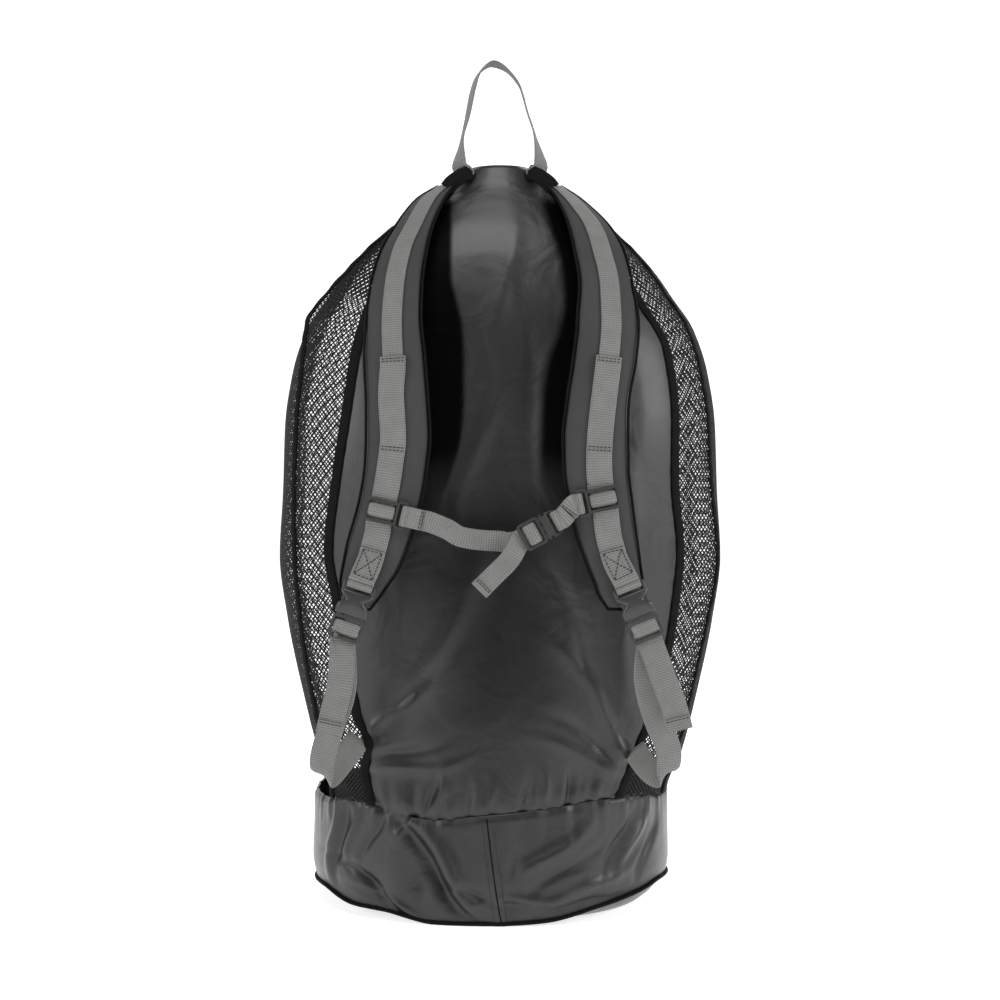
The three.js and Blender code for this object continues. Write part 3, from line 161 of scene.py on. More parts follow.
world = bpy.data.worlds.new("studio_air")
world.use_nodes = True
world.node_tree.nodes["Background"].inputs["Color"].default_value = (1, 1, 1, 1)
world.node_tree.nodes["Background"].inputs["Strength"].default_value = 0.13
bpy.context.scene.world = world

# ------------------------------------------------------------
# Body shape. The bag is one tall form: an egg-shaped section at each height, widest at mid
# height and drawn in to a small mouth. Every cloth and net wall is a patch of this surface.
BODY_HEIGHT = 0.772
HALF_WIDTH = 0.238
HALF_DEPTH = 0.165
BASE_HEIGHT = 0.115
FOLD_DEPTH = 0.010
SECTIONS = np.array([
    # height, left, right, back, middle, front, square
    (0.000, 0.800, 0.715, 0.88, 0.00, 0.88, 2.3),
    (0.060, 0.845, 0.760, 0.92, 0.00, 0.92, 2.3),
    (0.145, 0.836, 0.756, 0.91, 0.00, 0.91, 2.3),
    (0.205, 0.868, 0.828, 0.90, 0.00, 0.96, 2.3),
    (0.265, 0.915, 0.880, 0.91, 0.01, 1.02, 2.3),
    (0.385, 0.980, 0.965, 0.92, 0.03, 1.09, 2.3),
    (0.470, 1.000, 1.000, 0.92, 0.04, 1.11, 2.35),
    (0.560, 1.005, 0.985, 0.92, 0.04, 1.10, 2.35),
    (0.650, 1.000, 0.976, 0.91, 0.04, 1.05, 2.35),
    (0.725, 0.985, 0.940, 0.88, 0.02, 0.97, 2.3),
    (0.785, 0.966, 0.874, 0.84, 0.00, 0.86, 2.25),
    (0.823, 0.874, 0.790, 0.80, -0.02, 0.75, 2.2),
    (0.863, 0.748, 0.697, 0.74, -0.05, 0.60, 2.15),
    (0.903, 0.600, 0.571, 0.65, -0.10, 0.42, 2.1),
    (0.943, 0.400, 0.395, 0.53, -0.15, 0.22, 2.05),
    (0.972, 0.235, 0.235, 0.44, -0.18, 0.07, 2.0),
    (1.000, 0.150, 0.150, 0.38, -0.19, 0.01, 2.0),
])
LEFT, RIGHT, BACK, MIDDLE, FRONT, SQUARE = 1, 2, 3, 4, 5, 6
PANEL_EDGES = np.array([
    # height, left, right
    (0.145, 0.540, 0.480),
    (0.196, 0.571, 0.550),
    (0.228, 0.536, 0.590),
    (0.262, 0.600, 0.640),
    (0.355, 0.655, 0.720),
    (0.420, 0.695, 0.752),
    (0.480, 0.727, 0.770),
    (0.572, 0.693, 0.745),
    (0.655, 0.651, 0.748),
    (0.745, 0.605, 0.715),
    (0.805, 0.545, 0.605),
    (0.903, 0.378, 0.403),
    (0.960, 0.235, 0.245),
    (1.000, 0.135, 0.135),
])
BASE_EDGES = np.array([
    # turn in degrees, seam, lift
    (-180, 1.000, 0.00), (-110, 1.000, 0.12), (-66, 0.990, 0.18), (-48, 1.040, 0.09),
    (-32, 0.980, 0.07), (-17, 0.915, 0.00), (-3, 0.957, 0.00), (12, 1.010, 0.02),
    (31, 1.065, 0.12), (52, 1.060, 0.20), (65, 1.017, 0.24), (110, 1.000, 0.14),
    (180, 1.000, 0.00),
])
SEAM, LIFT = 1, 2
FOLDS = np.array([
    # turn, height, turn reach, height reach, depth
    (-57, 0.50, 5, 0.26, 0.7), (-72, 0.48, 6, 0.22, -0.8), (-74, 0.78, 8, 0.03, 0.6),
    (58, 0.52, 6, 0.18, -0.6), (68, 0.47, 5, 0.10, 0.5), (-33, 0.225, 5, 0.02, 0.8),
    (33, 0.215, 5, 0.02, 0.8), (-22, 0.19, 6, 0.03, -0.5), (24, 0.19, 6, 0.03, -0.5),
    (0, 0.62, 13, 0.22, -0.8), (-21, 0.06, 5, 0.035, -0.9), (-36, 0.045, 6, 0.03, -0.5),
    (20, 0.075, 9, 0.02, 0.4), (-120, 0.50, 10, 0.25, -0.9), (125, 0.45, 10, 0.25, -0.9),
    (165, 0.60, 12, 0.18, -0.7), (-160, 0.28, 12, 0.10, 0.6),
])


def read_table(table, key, column):
    """Smooth reading of one column by the first: a cubic between rows, with no overshoot."""
    x, y = table[:, 0], table[:, column]
    slope = np.diff(y) / np.diff(x)
    before, after = slope[:-1], slope[1:]
    product = before * after
    total = np.where(before + after == 0, 1, before + after)
    bend = np.concatenate([slope[:1], np.where(product > 0, 2 * product / total, 0), slope[-1:]])
    key = np.clip(key, x[0], x[-1])
    i = np.clip(np.searchsorted(x, key, side="left") - 1, 0, len(x) - 2)
    span = x[i + 1] - x[i]
    t = (key - x[i]) / span
    rise, start, end = y[i + 1] - y[i], span * bend[i], span * bend[i + 1]
    return y[i] + start * t + (3 * rise - 2 * start - end) * t**2 + (start + end - 2 * rise) * t**3


def half_width(aside, share):
    """Half width of the body on the side that the sign of aside names."""
    return HALF_WIDTH * np.where(aside < 0, read_table(SECTIONS, share, LEFT),
                                 read_table(SECTIONS, share, RIGHT))


def signed_power(values, power):
    return np.sign(values) * np.abs(values)**power


def wall(turn, height):
    """Outside of the body: quarters of superellipses, pushed in or out by bell-shaped folds."""
    turn, height = np.broadcast_arrays(np.asarray(turn, float), np.asarray(height, float))
    share = height / BODY_HEIGHT
    sine, cosine = np.sin(turn), np.cos(turn)
    middle = HALF_DEPTH * read_table(SECTIONS, share, MIDDLE)
    half_y = np.where(cosine > 0, HALF_DEPTH * read_table(SECTIONS, share, BACK) + middle,
                      HALF_DEPTH * read_table(SECTIONS, share, FRONT) - middle)
    power = 2 / read_table(SECTIONS, share, SQUARE)
    push = np.zeros(turn.shape)
    for fold_turn, at, turn_reach, height_reach, depth in FOLDS:
        aside = (turn - math.radians(fold_turn)) / math.radians(turn_reach)
        push = push + FOLD_DEPTH * depth * np.exp(-aside**2 - ((share - at) / height_reach)**2)
    x = half_width(turn, share) * signed_power(sine, power) + push * sine
    y = middle - half_y * signed_power(cosine, power) - push * cosine
    return np.stack([x, y, height], -1)


def unit(vectors):
    return vectors / np.maximum(np.linalg.norm(vectors, axis=-1, keepdims=True), 1e-12)


TURN_STEP, HEIGHT_STEP = 0.01, 0.0015


def wall_out(turn, height):
    """Direction square to the cloth, from steps along the wall and up it."""
    along = wall(turn + TURN_STEP, height) - wall(turn - TURN_STEP, height)
    up = wall(turn, height + HEIGHT_STEP) - wall(turn, height - HEIGHT_STEP)
    return unit(np.cross(along, up))


def off_wall(turn, height, distance):
    return wall(turn, height) + wall_out(turn, height) * np.asarray(distance)[..., None]


def turn_at_x(x, height):
    """Turn at which the wall towards the straps reaches a given x."""
    share = height / BODY_HEIGHT
    ratio = np.minimum(np.abs(x) / half_width(x, share), 0.98)
    return np.sign(x) * np.arcsin(ratio ** (read_table(SECTIONS, share, SQUARE) / 2))


SIGN = {"left": -1, "right": 1}
SIDE_COLUMN = {"left": 1, "right": 2}
NET_SEAM_TURN = {"left": math.radians(-57), "right": math.radians(68)}
SEAM_CLEAR_TURN = 0.12


def panel_turn(side, height):
    share = read_table(PANEL_EDGES, height / BODY_HEIGHT, SIDE_COLUMN[side])
    return turn_at_x(SIGN[side] * HALF_WIDTH * share, height)


def seam_turn(side, height):
    edge = np.abs(panel_turn(side, height)) + SEAM_CLEAR_TURN
    return SIGN[side] * np.maximum(abs(NET_SEAM_TURN[side]), edge)


def base_edge(turn, column):
    degrees = np.degrees(turn)
    return BASE_HEIGHT * read_table(BASE_EDGES, np.where(degrees > 180, degrees - 360, degrees),
                                    column)


def grid_faces(rows, columns, loop=False):
    """Corner numbers of the quads of a grid, row by row; a loop joins last column to first."""
    j, i = np.meshgrid(np.arange(rows - 1), np.arange(columns if loop else columns - 1),
                       indexing="ij")
    right = (i + 1) % columns
    return np.stack([j * columns + i, j * columns + right, (j + 1) * columns + right,
                     (j + 1) * columns + i], -1).reshape(-1, 4)


def path_length(points):
    """Distance along a path, from its first point, at each of its points."""
    return np.concatenate([[0], np.cumsum(np.linalg.norm(np.diff(points, axis=0), axis=1))])


BASE_THICKNESS, PANEL_THICKNESS, TAPE_THICKNESS, HEM_THICKNESS = 0.0018, 0.0014, 0.001, 0.0016


def cloth_piece(name, points, material, thickness, node, loop=False):
    """A sewn cloth or tape wall: its outside is the grid, and its thickness goes inwards."""
    rows, columns = points.shape[:2]
    piece = add_piece(name, points.reshape(-1, 3), grid_faces(rows, columns, loop), material)
    thicken(piece, thickness)
    return hand_over(piece, node)


# Shared effect: crossed threads, as a height that rises and falls over the surface
def make_weave_group():
    group = bpy.data.node_groups.new("crossed_threads", "ShaderNodeTree")
    for name, kind, way in (("Vector", "NodeSocketVector", "INPUT"),
                            ("Across", "NodeSocketFloat", "INPUT"),
                            ("Along", "NodeSocketFloat", "INPUT"),
                            ("Height", "NodeSocketFloat", "OUTPUT")):
        group.interface.new_socket(name=name, in_out=way, socket_type=kind)
    start, end = group.nodes.new("NodeGroupInput"), group.nodes.new("NodeGroupOutput")
    split = shader_node(group, "SeparateXYZ", {0: start.outputs["Vector"]})

    def math_node(operation, *values):
        return shader_node(group, "Math", dict(enumerate(values)), operation=operation).outputs[0]

    ridges = []
    for axis, count in (("X", "Across"), ("Y", "Along")):
        turn = math_node("MULTIPLY", split.outputs[axis], start.outputs[count])
        ridges.append(math_node("ABSOLUTE", math_node("SINE", turn)))
    group.links.new(math_node("MULTIPLY", *ridges), end.inputs["Height"])
    return group


weave_group = make_weave_group()


def woven(name, pitch, depth, tones, mottle, inputs, by_uv=False, wrinkle=0.0):
    """Material of a cloth: the relief of its threads, a colour that drifts between two tones with
    painted shade between the threads, and small wrinkles. Returns it and its shader."""
    material, shader = principled(name, inputs)
    tree = material.node_tree
    coords = shader_node(tree, "TexCoord", {}).outputs
    if by_uv:
        place = coords["UV"]
    else:
        place = shader_node(tree, "Mapping", {
            "Vector": coords["Object"], "Rotation": (math.radians(-90), 0, 0)}).outputs["Vector"]
    threads = shader_node(tree, "Group", {"Vector": place, "Across": math.pi / pitch[0],
                                          "Along": math.pi / pitch[1]}, node_tree=weave_group)
    relief = {"Strength": 0.5, "Distance": depth, "Height": threads.outputs["Height"]}
    if wrinkle:
        noise = shader_node(tree, "TexNoise", {"Vector": coords["Object"], "Scale": 19,
                                               "Detail": 3, "Distortion": 0.8})
        soft = shader_node(tree, "Bump", {"Strength": 0.6, "Distance": wrinkle,
                                          "Height": noise.outputs["Fac"]})
        relief["Normal"] = soft.outputs["Normal"]
    tree.links.new(shader_node(tree, "Bump", relief).outputs["Normal"], shader.inputs["Normal"])
    drift = shader_node(tree, "TexNoise", {"Vector": coords["Object"], "Scale": mottle,
                                           "Detail": 5})
    tone = shader_node(tree, "Mix", {"Factor": drift.outputs["Fac"], "A": (*tones[0], 1),
                                     "B": (*tones[1], 1)}, data_type="RGBA")
    # Painted shade: the colour is darkened where the threads' relief is low, between the threads
    gap_shade = shader_node(tree, "Mix", {"Factor": 0.5, "A": tone.outputs["Result"],
                                     "B": threads.outputs["Height"]},
                       data_type="RGBA", blend_type="MULTIPLY")
    tree.links.new(gap_shade.outputs["Result"], shader.inputs["Base Color"])
    return material, shader


def grey(tone):
    return tone, tone, tone


# Coated polyester: a plain weave under a thin gloss coat, as on the back panel and the base
coated_cloth, coated_shader = woven(
    "coated_cloth", (0.0009, 0.0009), 0.0002,
    ((0.012, 0.012, 0.0125), (0.022, 0.022, 0.0225)), 7,
    {"Roughness": 0.36, "Coat Roughness": 0.24}, wrinkle=0.006)

# Deep shade where the pads stand over the panel: a value kept with the panel's points takes the
# gloss and most of the colour away there. Other pieces have no such value and keep both.
PAD_SHADE = "pad_shade"
cloth_tree = coated_cloth.node_tree
shade = shader_node(cloth_tree, "Attribute", {}, attribute_name=PAD_SHADE).outputs["Fac"]
for socket, open_value in (("Specular IOR Level", 0.45), ("Coat Weight", 0.22)):
    dimmed = shader_node(cloth_tree, "Math", {0: shade, 1: -open_value, 2: open_value},
                         operation="MULTIPLY_ADD")
    cloth_tree.links.new(dimmed.outputs[0], coated_shader.inputs[socket])
open_colour = coated_shader.inputs["Base Color"].links[0].from_socket
shaded = shader_node(cloth_tree, "Mix", {"Factor": shade, "A": open_colour,
                                         "B": (*grey(0.0015), 1)}, data_type="RGBA")
cloth_tree.links.new(shaded.outputs["Result"], coated_shader.inputs["Base Color"])

# ------------------------------------------------------------
# Base: a boot of coated polyester, sewn to the panel and net along a wavy top seam, with soft
# creases where it is pushed in, a double-stitched upright seam and piping round its foot.
BASE_CREASES = np.array([
    # x, z, angle from the x axis in degrees, half length, half width, depth: all in metres
    (-0.070, 0.058, 133, 0.060, 0.0070, -0.0060),
    (-0.048, 0.050, 128, 0.050, 0.0080, 0.0040),
    (-0.118, 0.026, 150, 0.050, 0.0050, -0.0040),
    (-0.100, 0.016, 160, 0.045, 0.0040, 0.0030),
    (-0.172, 0.075, 88, 0.035, 0.0035, 0.0030),
    (-0.163, 0.075, 86, 0.035, 0.0035, -0.0030),
    (-0.150, 0.085, 80, 0.028, 0.0035, 0.0025),
    (-0.128, 0.085, 70, 0.026, 0.0040, -0.0025),
    (-0.095, 0.096, 60, 0.022, 0.0035, 0.0022),
    (0.012, 0.045, 98, 0.050, 0.0060, -0.0020),
    (0.050, 0.070, 40, 0.045, 0.0070, 0.0030),
    (0.070, 0.058, 36, 0.045, 0.0060, -0.0030),
    (0.095, 0.040, 25, 0.040, 0.0060, 0.0028),
    (0.120, 0.080, 62, 0.032, 0.0045, -0.0028),
    (0.134, 0.078, 66, 0.032, 0.0045, 0.0026),
    (0.150, 0.066, 74, 0.034, 0.0040, -0.0026),
    (0.030, 0.026, 8, 0.050, 0.0050, 0.0022),
    (-0.020, 0.030, 172, 0.040, 0.0050, -0.0022),
    (0.105, 0.022, 15, 0.038, 0.0045, -0.0022),
])
CREASE_GAIN = 1.5
CREASE_SWAY, CREASE_SWAY_RATE = 0.12, 2.2
CREASE_END_Y, CREASE_FADE = -0.02, 0.01


def creases(points, table):
    """Sum of long bell-shaped ridges and valleys, by x and z on the straps side of the bag."""
    x, y, z = points[..., 0], points[..., 1], points[..., 2]
    push = np.zeros(x.shape)
    for cx, cz, angle, half_long, half_wide, depth in table:
        c, s = math.cos(math.radians(angle)), math.sin(math.radians(angle))
        along = (x - cx) * c + (z - cz) * s
        aside = -(x - cx) * s + (z - cz) * c
        aside = aside + CREASE_SWAY * half_long * np.sin(along / half_long * CREASE_SWAY_RATE)
        push += CREASE_GAIN * depth * np.exp(-(along / half_long)**2 - (aside / half_wide)**2)
    return push / (1 + np.exp((y - CREASE_END_Y) / CREASE_FADE))


def pucker(turn, height_share, count, reach, depth):
    """Gathers below a seam: waves round the bag that die out away from it."""
    waves = np.sin(count * turn) + 0.6 * np.sin(count * 1.7 * turn + 1.3)
    return depth * waves * np.exp(-((1 - height_share) / reach)**2)


UPRIGHT_TURN, UPRIGHT_LEAN = -0.045, 0.05
UPRIGHT_RIDGE, UPRIGHT_REACH = 0.0012, 0.03
SEAM_PULL, SEAM_PULL_REACH = 0.0022, 0.035
FOOT_LEVEL = 0.12
BASE_GATHERS = {"count": 46, "reach": 0.25, "depth": 0.0006}


def upright_turn(level):
    """Line of the boot's upright seam, which leans a little towards its foot."""
    return UPRIGHT_TURN + UPRIGHT_LEAN * (1 - level)


def base_skin(turn, level):
    """Boot of the bag: level runs from its lower edge to its seam; creases and gathers push it.
    Returns the points and the directions square to the cloth."""
    turns, level = np.broadcast_arrays(turn, level)
    low, seam = base_edge(turns, LIFT), base_edge(turns, SEAM)
    height = low + (seam - low) * level
    points = wall(turns, height)
    push = creases(points, BASE_CREASES) + pucker(turns, level, **BASE_GATHERS)
    push = push - SEAM_PULL * np.exp(-((1 - level) / SEAM_PULL_REACH)**2)
    push = push * np.clip(level / FOOT_LEVEL, 0, 1)
    push = push + UPRIGHT_RIDGE * np.exp(-((turns - upright_turn(level)) / UPRIGHT_REACH)**2)
    out = wall_out(turns, height)
    return points + out * push[..., None], out


def round_angles(count):
    """Angles of so many points round a section."""
    return np.linspace(0, 2 * math.pi, count, endpoint=False)


def full_turn(count):
    """Turns all round the bag, from its middle at the far side."""
    return np.linspace(-math.pi, math.pi, count + 1)[:-1]


base_level = np.concatenate([np.linspace(0, 0.9, 40), np.linspace(0.92, 1, 7)])[:, None]
base_cloth = cloth_piece("base_cloth", base_skin(full_turn(480), base_level)[0], coated_cloth,
                         BASE_THICKNESS, "base_band", loop=True)

FLOOR_SHARES = np.array([1, 0.97, 0.93, 0.88, 0.84, 0.8, 0.6, 0.35, 0.02])[:, None]
FLOOR_FLAT_SHARE, FLOOR_THICKNESS, FLOOR_INSET, FLOOR_LIFT = 0.8, 0.002, 0.0026, 0.001


def base_floor_points(lift):
    """Bottom panel: flat where it stands, its edge rising with the boot; rings to a centre."""
    turn = full_turn(180)
    low = base_edge(turn, LIFT)
    rim = off_wall(turn, low + FLOOR_LIFT, np.full(turn.shape, -FLOOR_INSET))
    rise = np.maximum(FLOOR_SHARES - FLOOR_FLAT_SHARE, 0) / (1 - FLOOR_FLAT_SHARE)
    points = np.stack([rim[:, 0] * FLOOR_SHARES, rim[:, 1] * FLOOR_SHARES, low * rise**2], -1)
    return points + np.array([0, 0, lift])


floor_points = np.concatenate([base_floor_points(0)[::-1], base_floor_points(FLOOR_THICKNESS)])
hand_over(add_piece("base_bottom", floor_points.reshape(-1, 3),
                    grid_faces(*floor_points.shape[:2], True)[:, ::-1], coated_cloth),
          "base_floor")

# Edge tape: black woven tape for the bindings, seams, hem and piping
edge_tape = woven("edge_tape", (0.0012, 0.0012), 0.0003, (grey(0.004), grey(0.009)), 30,
                  {"Roughness": 0.75, "Specular IOR Level": 0.1})[0]


def tube(name, spine, radius, material, node, loop=False, sides=12):
    """Round section carried along a path; its frame is the path's own direction and up."""
    if loop:
        along = unit(np.roll(spine, -1, 0) - np.roll(spine, 1, 0))
    else:
        along = unit(np.gradient(spine, axis=0))
    side = unit(np.cross(along, (0, 0, 1)))
    over = np.cross(side, along)
    angle = round_angles(sides)
    ring = (side[:, None] * np.cos(angle)[None, :, None]
            + over[:, None] * np.sin(angle)[None, :, None]) * radius
    faces = grid_faces(len(spine) + loop, sides, True)[:, ::-1] % (len(spine) * sides)
    piece = add_piece(name, (spine[:, None] + ring).reshape(-1, 3), faces, material)
    close_up(piece, 0 if loop else sides)
    return hand_over(piece, node)


RIM_LIFT, RIM_OUT, RIM_RADIUS = 0.0024, 0.0014, 0.0018
rim_turn = full_turn(240)
rim_spine = off_wall(rim_turn, base_edge(rim_turn, LIFT) + RIM_LIFT,
                     np.full(rim_turn.shape, RIM_OUT))
tube("rim_piping", rim_spine, RIM_RADIUS, edge_tape, "base_rim", loop=True)

# Upright seam of the boot: the fold where its two ends are sewn together
SEAM_RADIUS = 0.0007
seam_level = np.linspace(0.04, 0.97, 60)
tube("base_seam", base_skin(upright_turn(seam_level), seam_level)[0], SEAM_RADIUS, edge_tape,
     "base_band")

# ------------------------------------------------------------
# Back panel: one piece of coated polyester from the base to the mouth, drawn in at its lower
# corners by the straps, with a hollow down its middle and gathers above the base.
PANEL_CREASES = np.array([
    # x, z, angle, half length, half width, depth
    (0.000, 0.330, 92, 0.150, 0.0300, -0.0050),
    (-0.060, 0.270, 75, 0.110, 0.0110, 0.0028),
    (-0.085, 0.230, 60, 0.080, 0.0080, -0.0026),
    (-0.105, 0.210, 50, 0.060, 0.0060, 0.0028),
    (-0.100, 0.170, 20, 0.045, 0.0050, -0.0026),
    (-0.090, 0.155, 12, 0.045, 0.0045, 0.0024),
    (-0.070, 0.125, 82, 0.022, 0.0030, -0.0026),
    (-0.060, 0.125, 85, 0.022, 0.0030, 0.0024),
    (-0.030, 0.122, 95, 0.018, 0.0035, -0.0020),
    (-0.010, 0.125, 88, 0.020, 0.0035, 0.0018),
    (0.025, 0.130, 85, 0.020, 0.0035, -0.0020),
    (0.045, 0.130, 96, 0.022, 0.0035, 0.0022),
    (0.070, 0.135, 100, 0.022, 0.0030, -0.0022),
    (0.085, 0.165, 160, 0.045, 0.0050, 0.0026),
    (0.095, 0.180, 150, 0.045, 0.0050, -0.0026),
    (0.100, 0.215, 128, 0.060, 0.0060, 0.0026),
    (0.085, 0.250, 112, 0.090, 0.0080, -0.0024),
    (0.130, 0.330, 95, 0.100, 0.0120, 0.0028),
    (0.105, 0.420, 84, 0.120, 0.0100, -0.0022),
    (-0.115, 0.430, 98, 0.110, 0.0100, -0.0022),
    (-0.020, 0.480, 80, 0.090, 0.0090, 0.0016),
    (0.030, 0.520, 102, 0.100, 0.0090, -0.0016),
    (0.005, 0.640, 88, 0.070, 0.0100, 0.0018),
])
PANEL_TUCK = 0.005
EDGE_SHARE = 0.05
PANEL_GATHERS = {"count": 52, "reach": 0.05, "depth": 0.0008}
PANEL_PULL, PANEL_PULL_REACH = 0.0018, 0.006
TUCK_DEPTH, TUCK_START, TUCK_REACH = 0.0028, 0.0005, 0.0020


def panel_points():
    """Patch of the body between the panel's edges, from inside the boot to the mouth."""
    across = np.linspace(0, 1, 141)
    level = np.concatenate([np.linspace(0, 0.12, 26), np.linspace(0.13, 1, 150)])[:, None]
    left, right = (panel_turn(side, np.full(1, BASE_HEIGHT)) for side in SIGN)
    seam = base_edge(left + (right - left) * across, SEAM)
    bottom = seam - PANEL_TUCK
    height = bottom + (BODY_HEIGHT - bottom) * level
    left, right = panel_turn("left", height), panel_turn("right", height)
    turn = left + (right - left) * across
    points = wall(turn, height)
    edge = np.clip(np.minimum(across, 1 - across) / EDGE_SHARE, 0, 1)
    push = creases(points, PANEL_CREASES) * edge
    push = push + pucker(turn, 1 - level, **PANEL_GATHERS)
    push = push - PANEL_PULL * np.exp(-((height - seam) / PANEL_PULL_REACH)**2)
    push = push - TUCK_DEPTH * np.clip((seam + TUCK_START - height) / TUCK_REACH, 0, 1)
    return points + wall_out(turn, height) * push[..., None]


panel_grid = panel_points()
panel_cloth = cloth_piece("panel_cloth", panel_grid, coated_cloth, PANEL_THICKNESS,
                          "back_panel")

# ------------------------------------------------------------
# Nets: knotted polyester net in diamond cells, real strands with real gaps. The strips that
# the straps side shows are cut finer than the large net round the far side.
net_cord = woven("net_cord", (0.0006, 0.0006), 0.0002, (grey(0.006), grey(0.014)), 40,
                 {"Roughness": 0.6, "Specular IOR Level": 0.25})[0]

FINE_NET = {"cell": 0.0048, "strand": 0.0010}
WIDE_NET = {"cell": 0.0090, "strand": 0.0013}
NET_THICKNESS = 0.0007
NET_TOP = 0.765
NET_REACH = 0.75
NET_CLIMB = np.linspace(0.09, BODY_HEIGHT, 700)
NET_TURNS = np.linspace(-1.7, 5.6, 900)


def net_piece(name, node, low_turn, high_turn, cell, strand):
    """Diamond cells of one size on the wall between two lines of turn. Each cell is a frame of
    four strips round a diamond gap; distances round the bag are measured along the cloth."""
    run = path_length(wall(np.full(len(NET_CLIMB), math.radians(88)), NET_CLIMB))
    rows = np.arange(0, int(run[-1] / (cell / 2)) + 1)
    height = np.interp(rows * cell / 2, run, NET_CLIMB)
    spots = wall(NET_TURNS[None, :], height[:, None])
    lengths = np.linalg.norm(np.diff(spots, axis=1), axis=2)
    arc = np.concatenate([np.zeros((len(rows), 1)), np.cumsum(lengths, 1)], 1)
    centre_turn = float(np.mean([np.mean(low_turn(height)), np.mean(high_turn(height))]))
    start = np.array([np.interp(centre_turn, NET_TURNS, one) for one in arc])
    half_count = int(NET_REACH / (cell / 2))
    columns = np.arange(-half_count, half_count + 1)
    turn = np.stack([np.interp(start[k] + columns * cell / 2, arc[k], NET_TURNS,
                               left=-9, right=9) for k in range(len(rows))])
    low, high = low_turn(height)[:, None], high_turn(height)[:, None]
    inside = (turn > low) & (turn < high) & (height[:, None] < NET_TOP)
    inside &= height[:, None] > base_edge(turn, SEAM) - cell * 0.2
    even = (rows[:, None] + columns[None, :]) % 2 == 0
    picked = np.argwhere((inside & even)[1:-1, 1:-1]) + 1
    r, c = picked[:, 0], picked[:, 1]
    corners = np.stack([r * len(columns) + c - 1, (r - 1) * len(columns) + c,
                        r * len(columns) + c + 1, (r + 1) * len(columns) + c], 1)
    used, packed = np.unique(corners, return_inverse=True)
    packed = packed.reshape(corners.shape)
    flat_turn, flat_height = turn.reshape(-1), np.repeat(height, len(columns))
    keep = 1 - strand / (cell / math.sqrt(2))
    middle_turn, middle_height = turn[r, c][:, None], height[r][:, None]
    hole_turn = middle_turn + (flat_turn[corners] - middle_turn) * keep
    hole_height = middle_height + (flat_height[corners] - middle_height) * keep
    verts = np.concatenate([wall(flat_turn[used], flat_height[used]),
                            wall(hole_turn, hole_height).reshape(-1, 3)])
    hole = len(used) + np.arange(len(picked) * 4).reshape(-1, 4)
    following = [1, 2, 3, 0]
    faces = np.stack([packed, packed[:, following], hole[:, following], hole], -1).reshape(-1, 4)
    piece = add_piece(name, verts, faces, net_cord, smooth=False)
    thicken(piece, NET_THICKNESS)
    hand_over(piece, node)


STRIP_TURN = math.radians(24)
WIDE_SPLIT = [0, 0.34, 0.67, 1]


def left_seam(z):
    """Line of the left seam, counted on round the far side from the right one."""
    return 2 * math.pi + seam_turn("left", z)


def right_seam(z):
    return seam_turn("right", z)


def far_line(share):
    """Line of turn on the far side, by share of the way from the right strip to the left."""
    def line(z):
        first, last = right_seam(z) + STRIP_TURN, left_seam(z) - STRIP_TURN
        return first + (last - first) * share
    return line


net_piece("side_net_left", "mesh_side_left", lambda z: seam_turn("left", z),
          lambda z: panel_turn("left", z), **FINE_NET)
net_piece("side_net_right", "mesh_side_right", lambda z: panel_turn("right", z), right_seam,
          **FINE_NET)
net_piece("front_strip_left", "mesh_front", lambda z: left_seam(z) - STRIP_TURN, left_seam,
          **FINE_NET)
net_piece("front_strip_right", "mesh_front", right_seam, lambda z: right_seam(z) + STRIP_TURN,
          **FINE_NET)
for part in range(3):
    net_piece(f"wide_net_{part}", "mesh_front", far_line(WIDE_SPLIT[part]),
              far_line(WIDE_SPLIT[part + 1]), **WIDE_NET)

# ------------------------------------------------------------
# Bindings and seams: folded tape sewn over the panel's edges, and the narrow sewn seams of the
# net.
TAPE_RIPPLE, TAPE_RIPPLE_PITCH = 0.0004, 0.0031
BINDING = {"width": 0.0115, "top_share": 0.985, "lift": 0.0008, "crown": 0.0014}
NET_SEAM = {"width": 0.0075, "top_share": 0.90, "lift": 0.0007, "crown": 0.0010}


def tape_points(turn_at, width, top_share, lift, crown):
    """Strip along a line of turn by height: flat across, with slightly rounded edges."""
    level = np.linspace(0, top_share, 160)
    bottom = base_edge(turn_at(np.full(1, BASE_HEIGHT)), SEAM)
    height = bottom + (BODY_HEIGHT - bottom) * level
    turn = turn_at(height)
    steps = wall(turn + TURN_STEP, height) - wall(turn - TURN_STEP, height)
    per_turn = np.linalg.norm(steps, axis=-1) / (2 * TURN_STEP)
    across = np.linspace(-1, 1, 9)
    turns = turn[:, None] + across * (width / 2 / per_turn)[:, None]
    heights = np.broadcast_to(height[:, None], turns.shape)
    ripple = TAPE_RIPPLE * np.sin(height[:, None] / TAPE_RIPPLE_PITCH)
    rise = lift + crown * (1 - np.abs(across)**4) + ripple
    return off_wall(turns, heights, np.broadcast_to(rise, turns.shape))


for side in SIGN:
    cloth_piece(f"binding_{side}", tape_points(lambda z: panel_turn(side, z), **BINDING),
                edge_tape, TAPE_THICKNESS, f"panel_binding_{side}")
    cloth_piece(f"net_seam_{side}", tape_points(lambda z: seam_turn(side, z), **NET_SEAM),
                edge_tape, TAPE_THICKNESS, f"mesh_seam_{side}")

# Mouth: the net's top edge is turned over a tape, which makes a short collar round the opening
HEM_HEIGHT, HEM_INSET = 0.016, 0.0022
hem_height = np.linspace(BODY_HEIGHT - HEM_HEIGHT, BODY_HEIGHT, 9)[:, None]
hem_turns, hem_heights = np.broadcast_arrays(full_turn(72)[None, :], hem_height)
hem_points = off_wall(hem_turns, hem_heights, np.full(hem_turns.shape, -HEM_INSET))
cloth_piece("mouth_tape", hem_points, edge_tape, HEM_THICKNESS, "mouth_hem", loop=True)

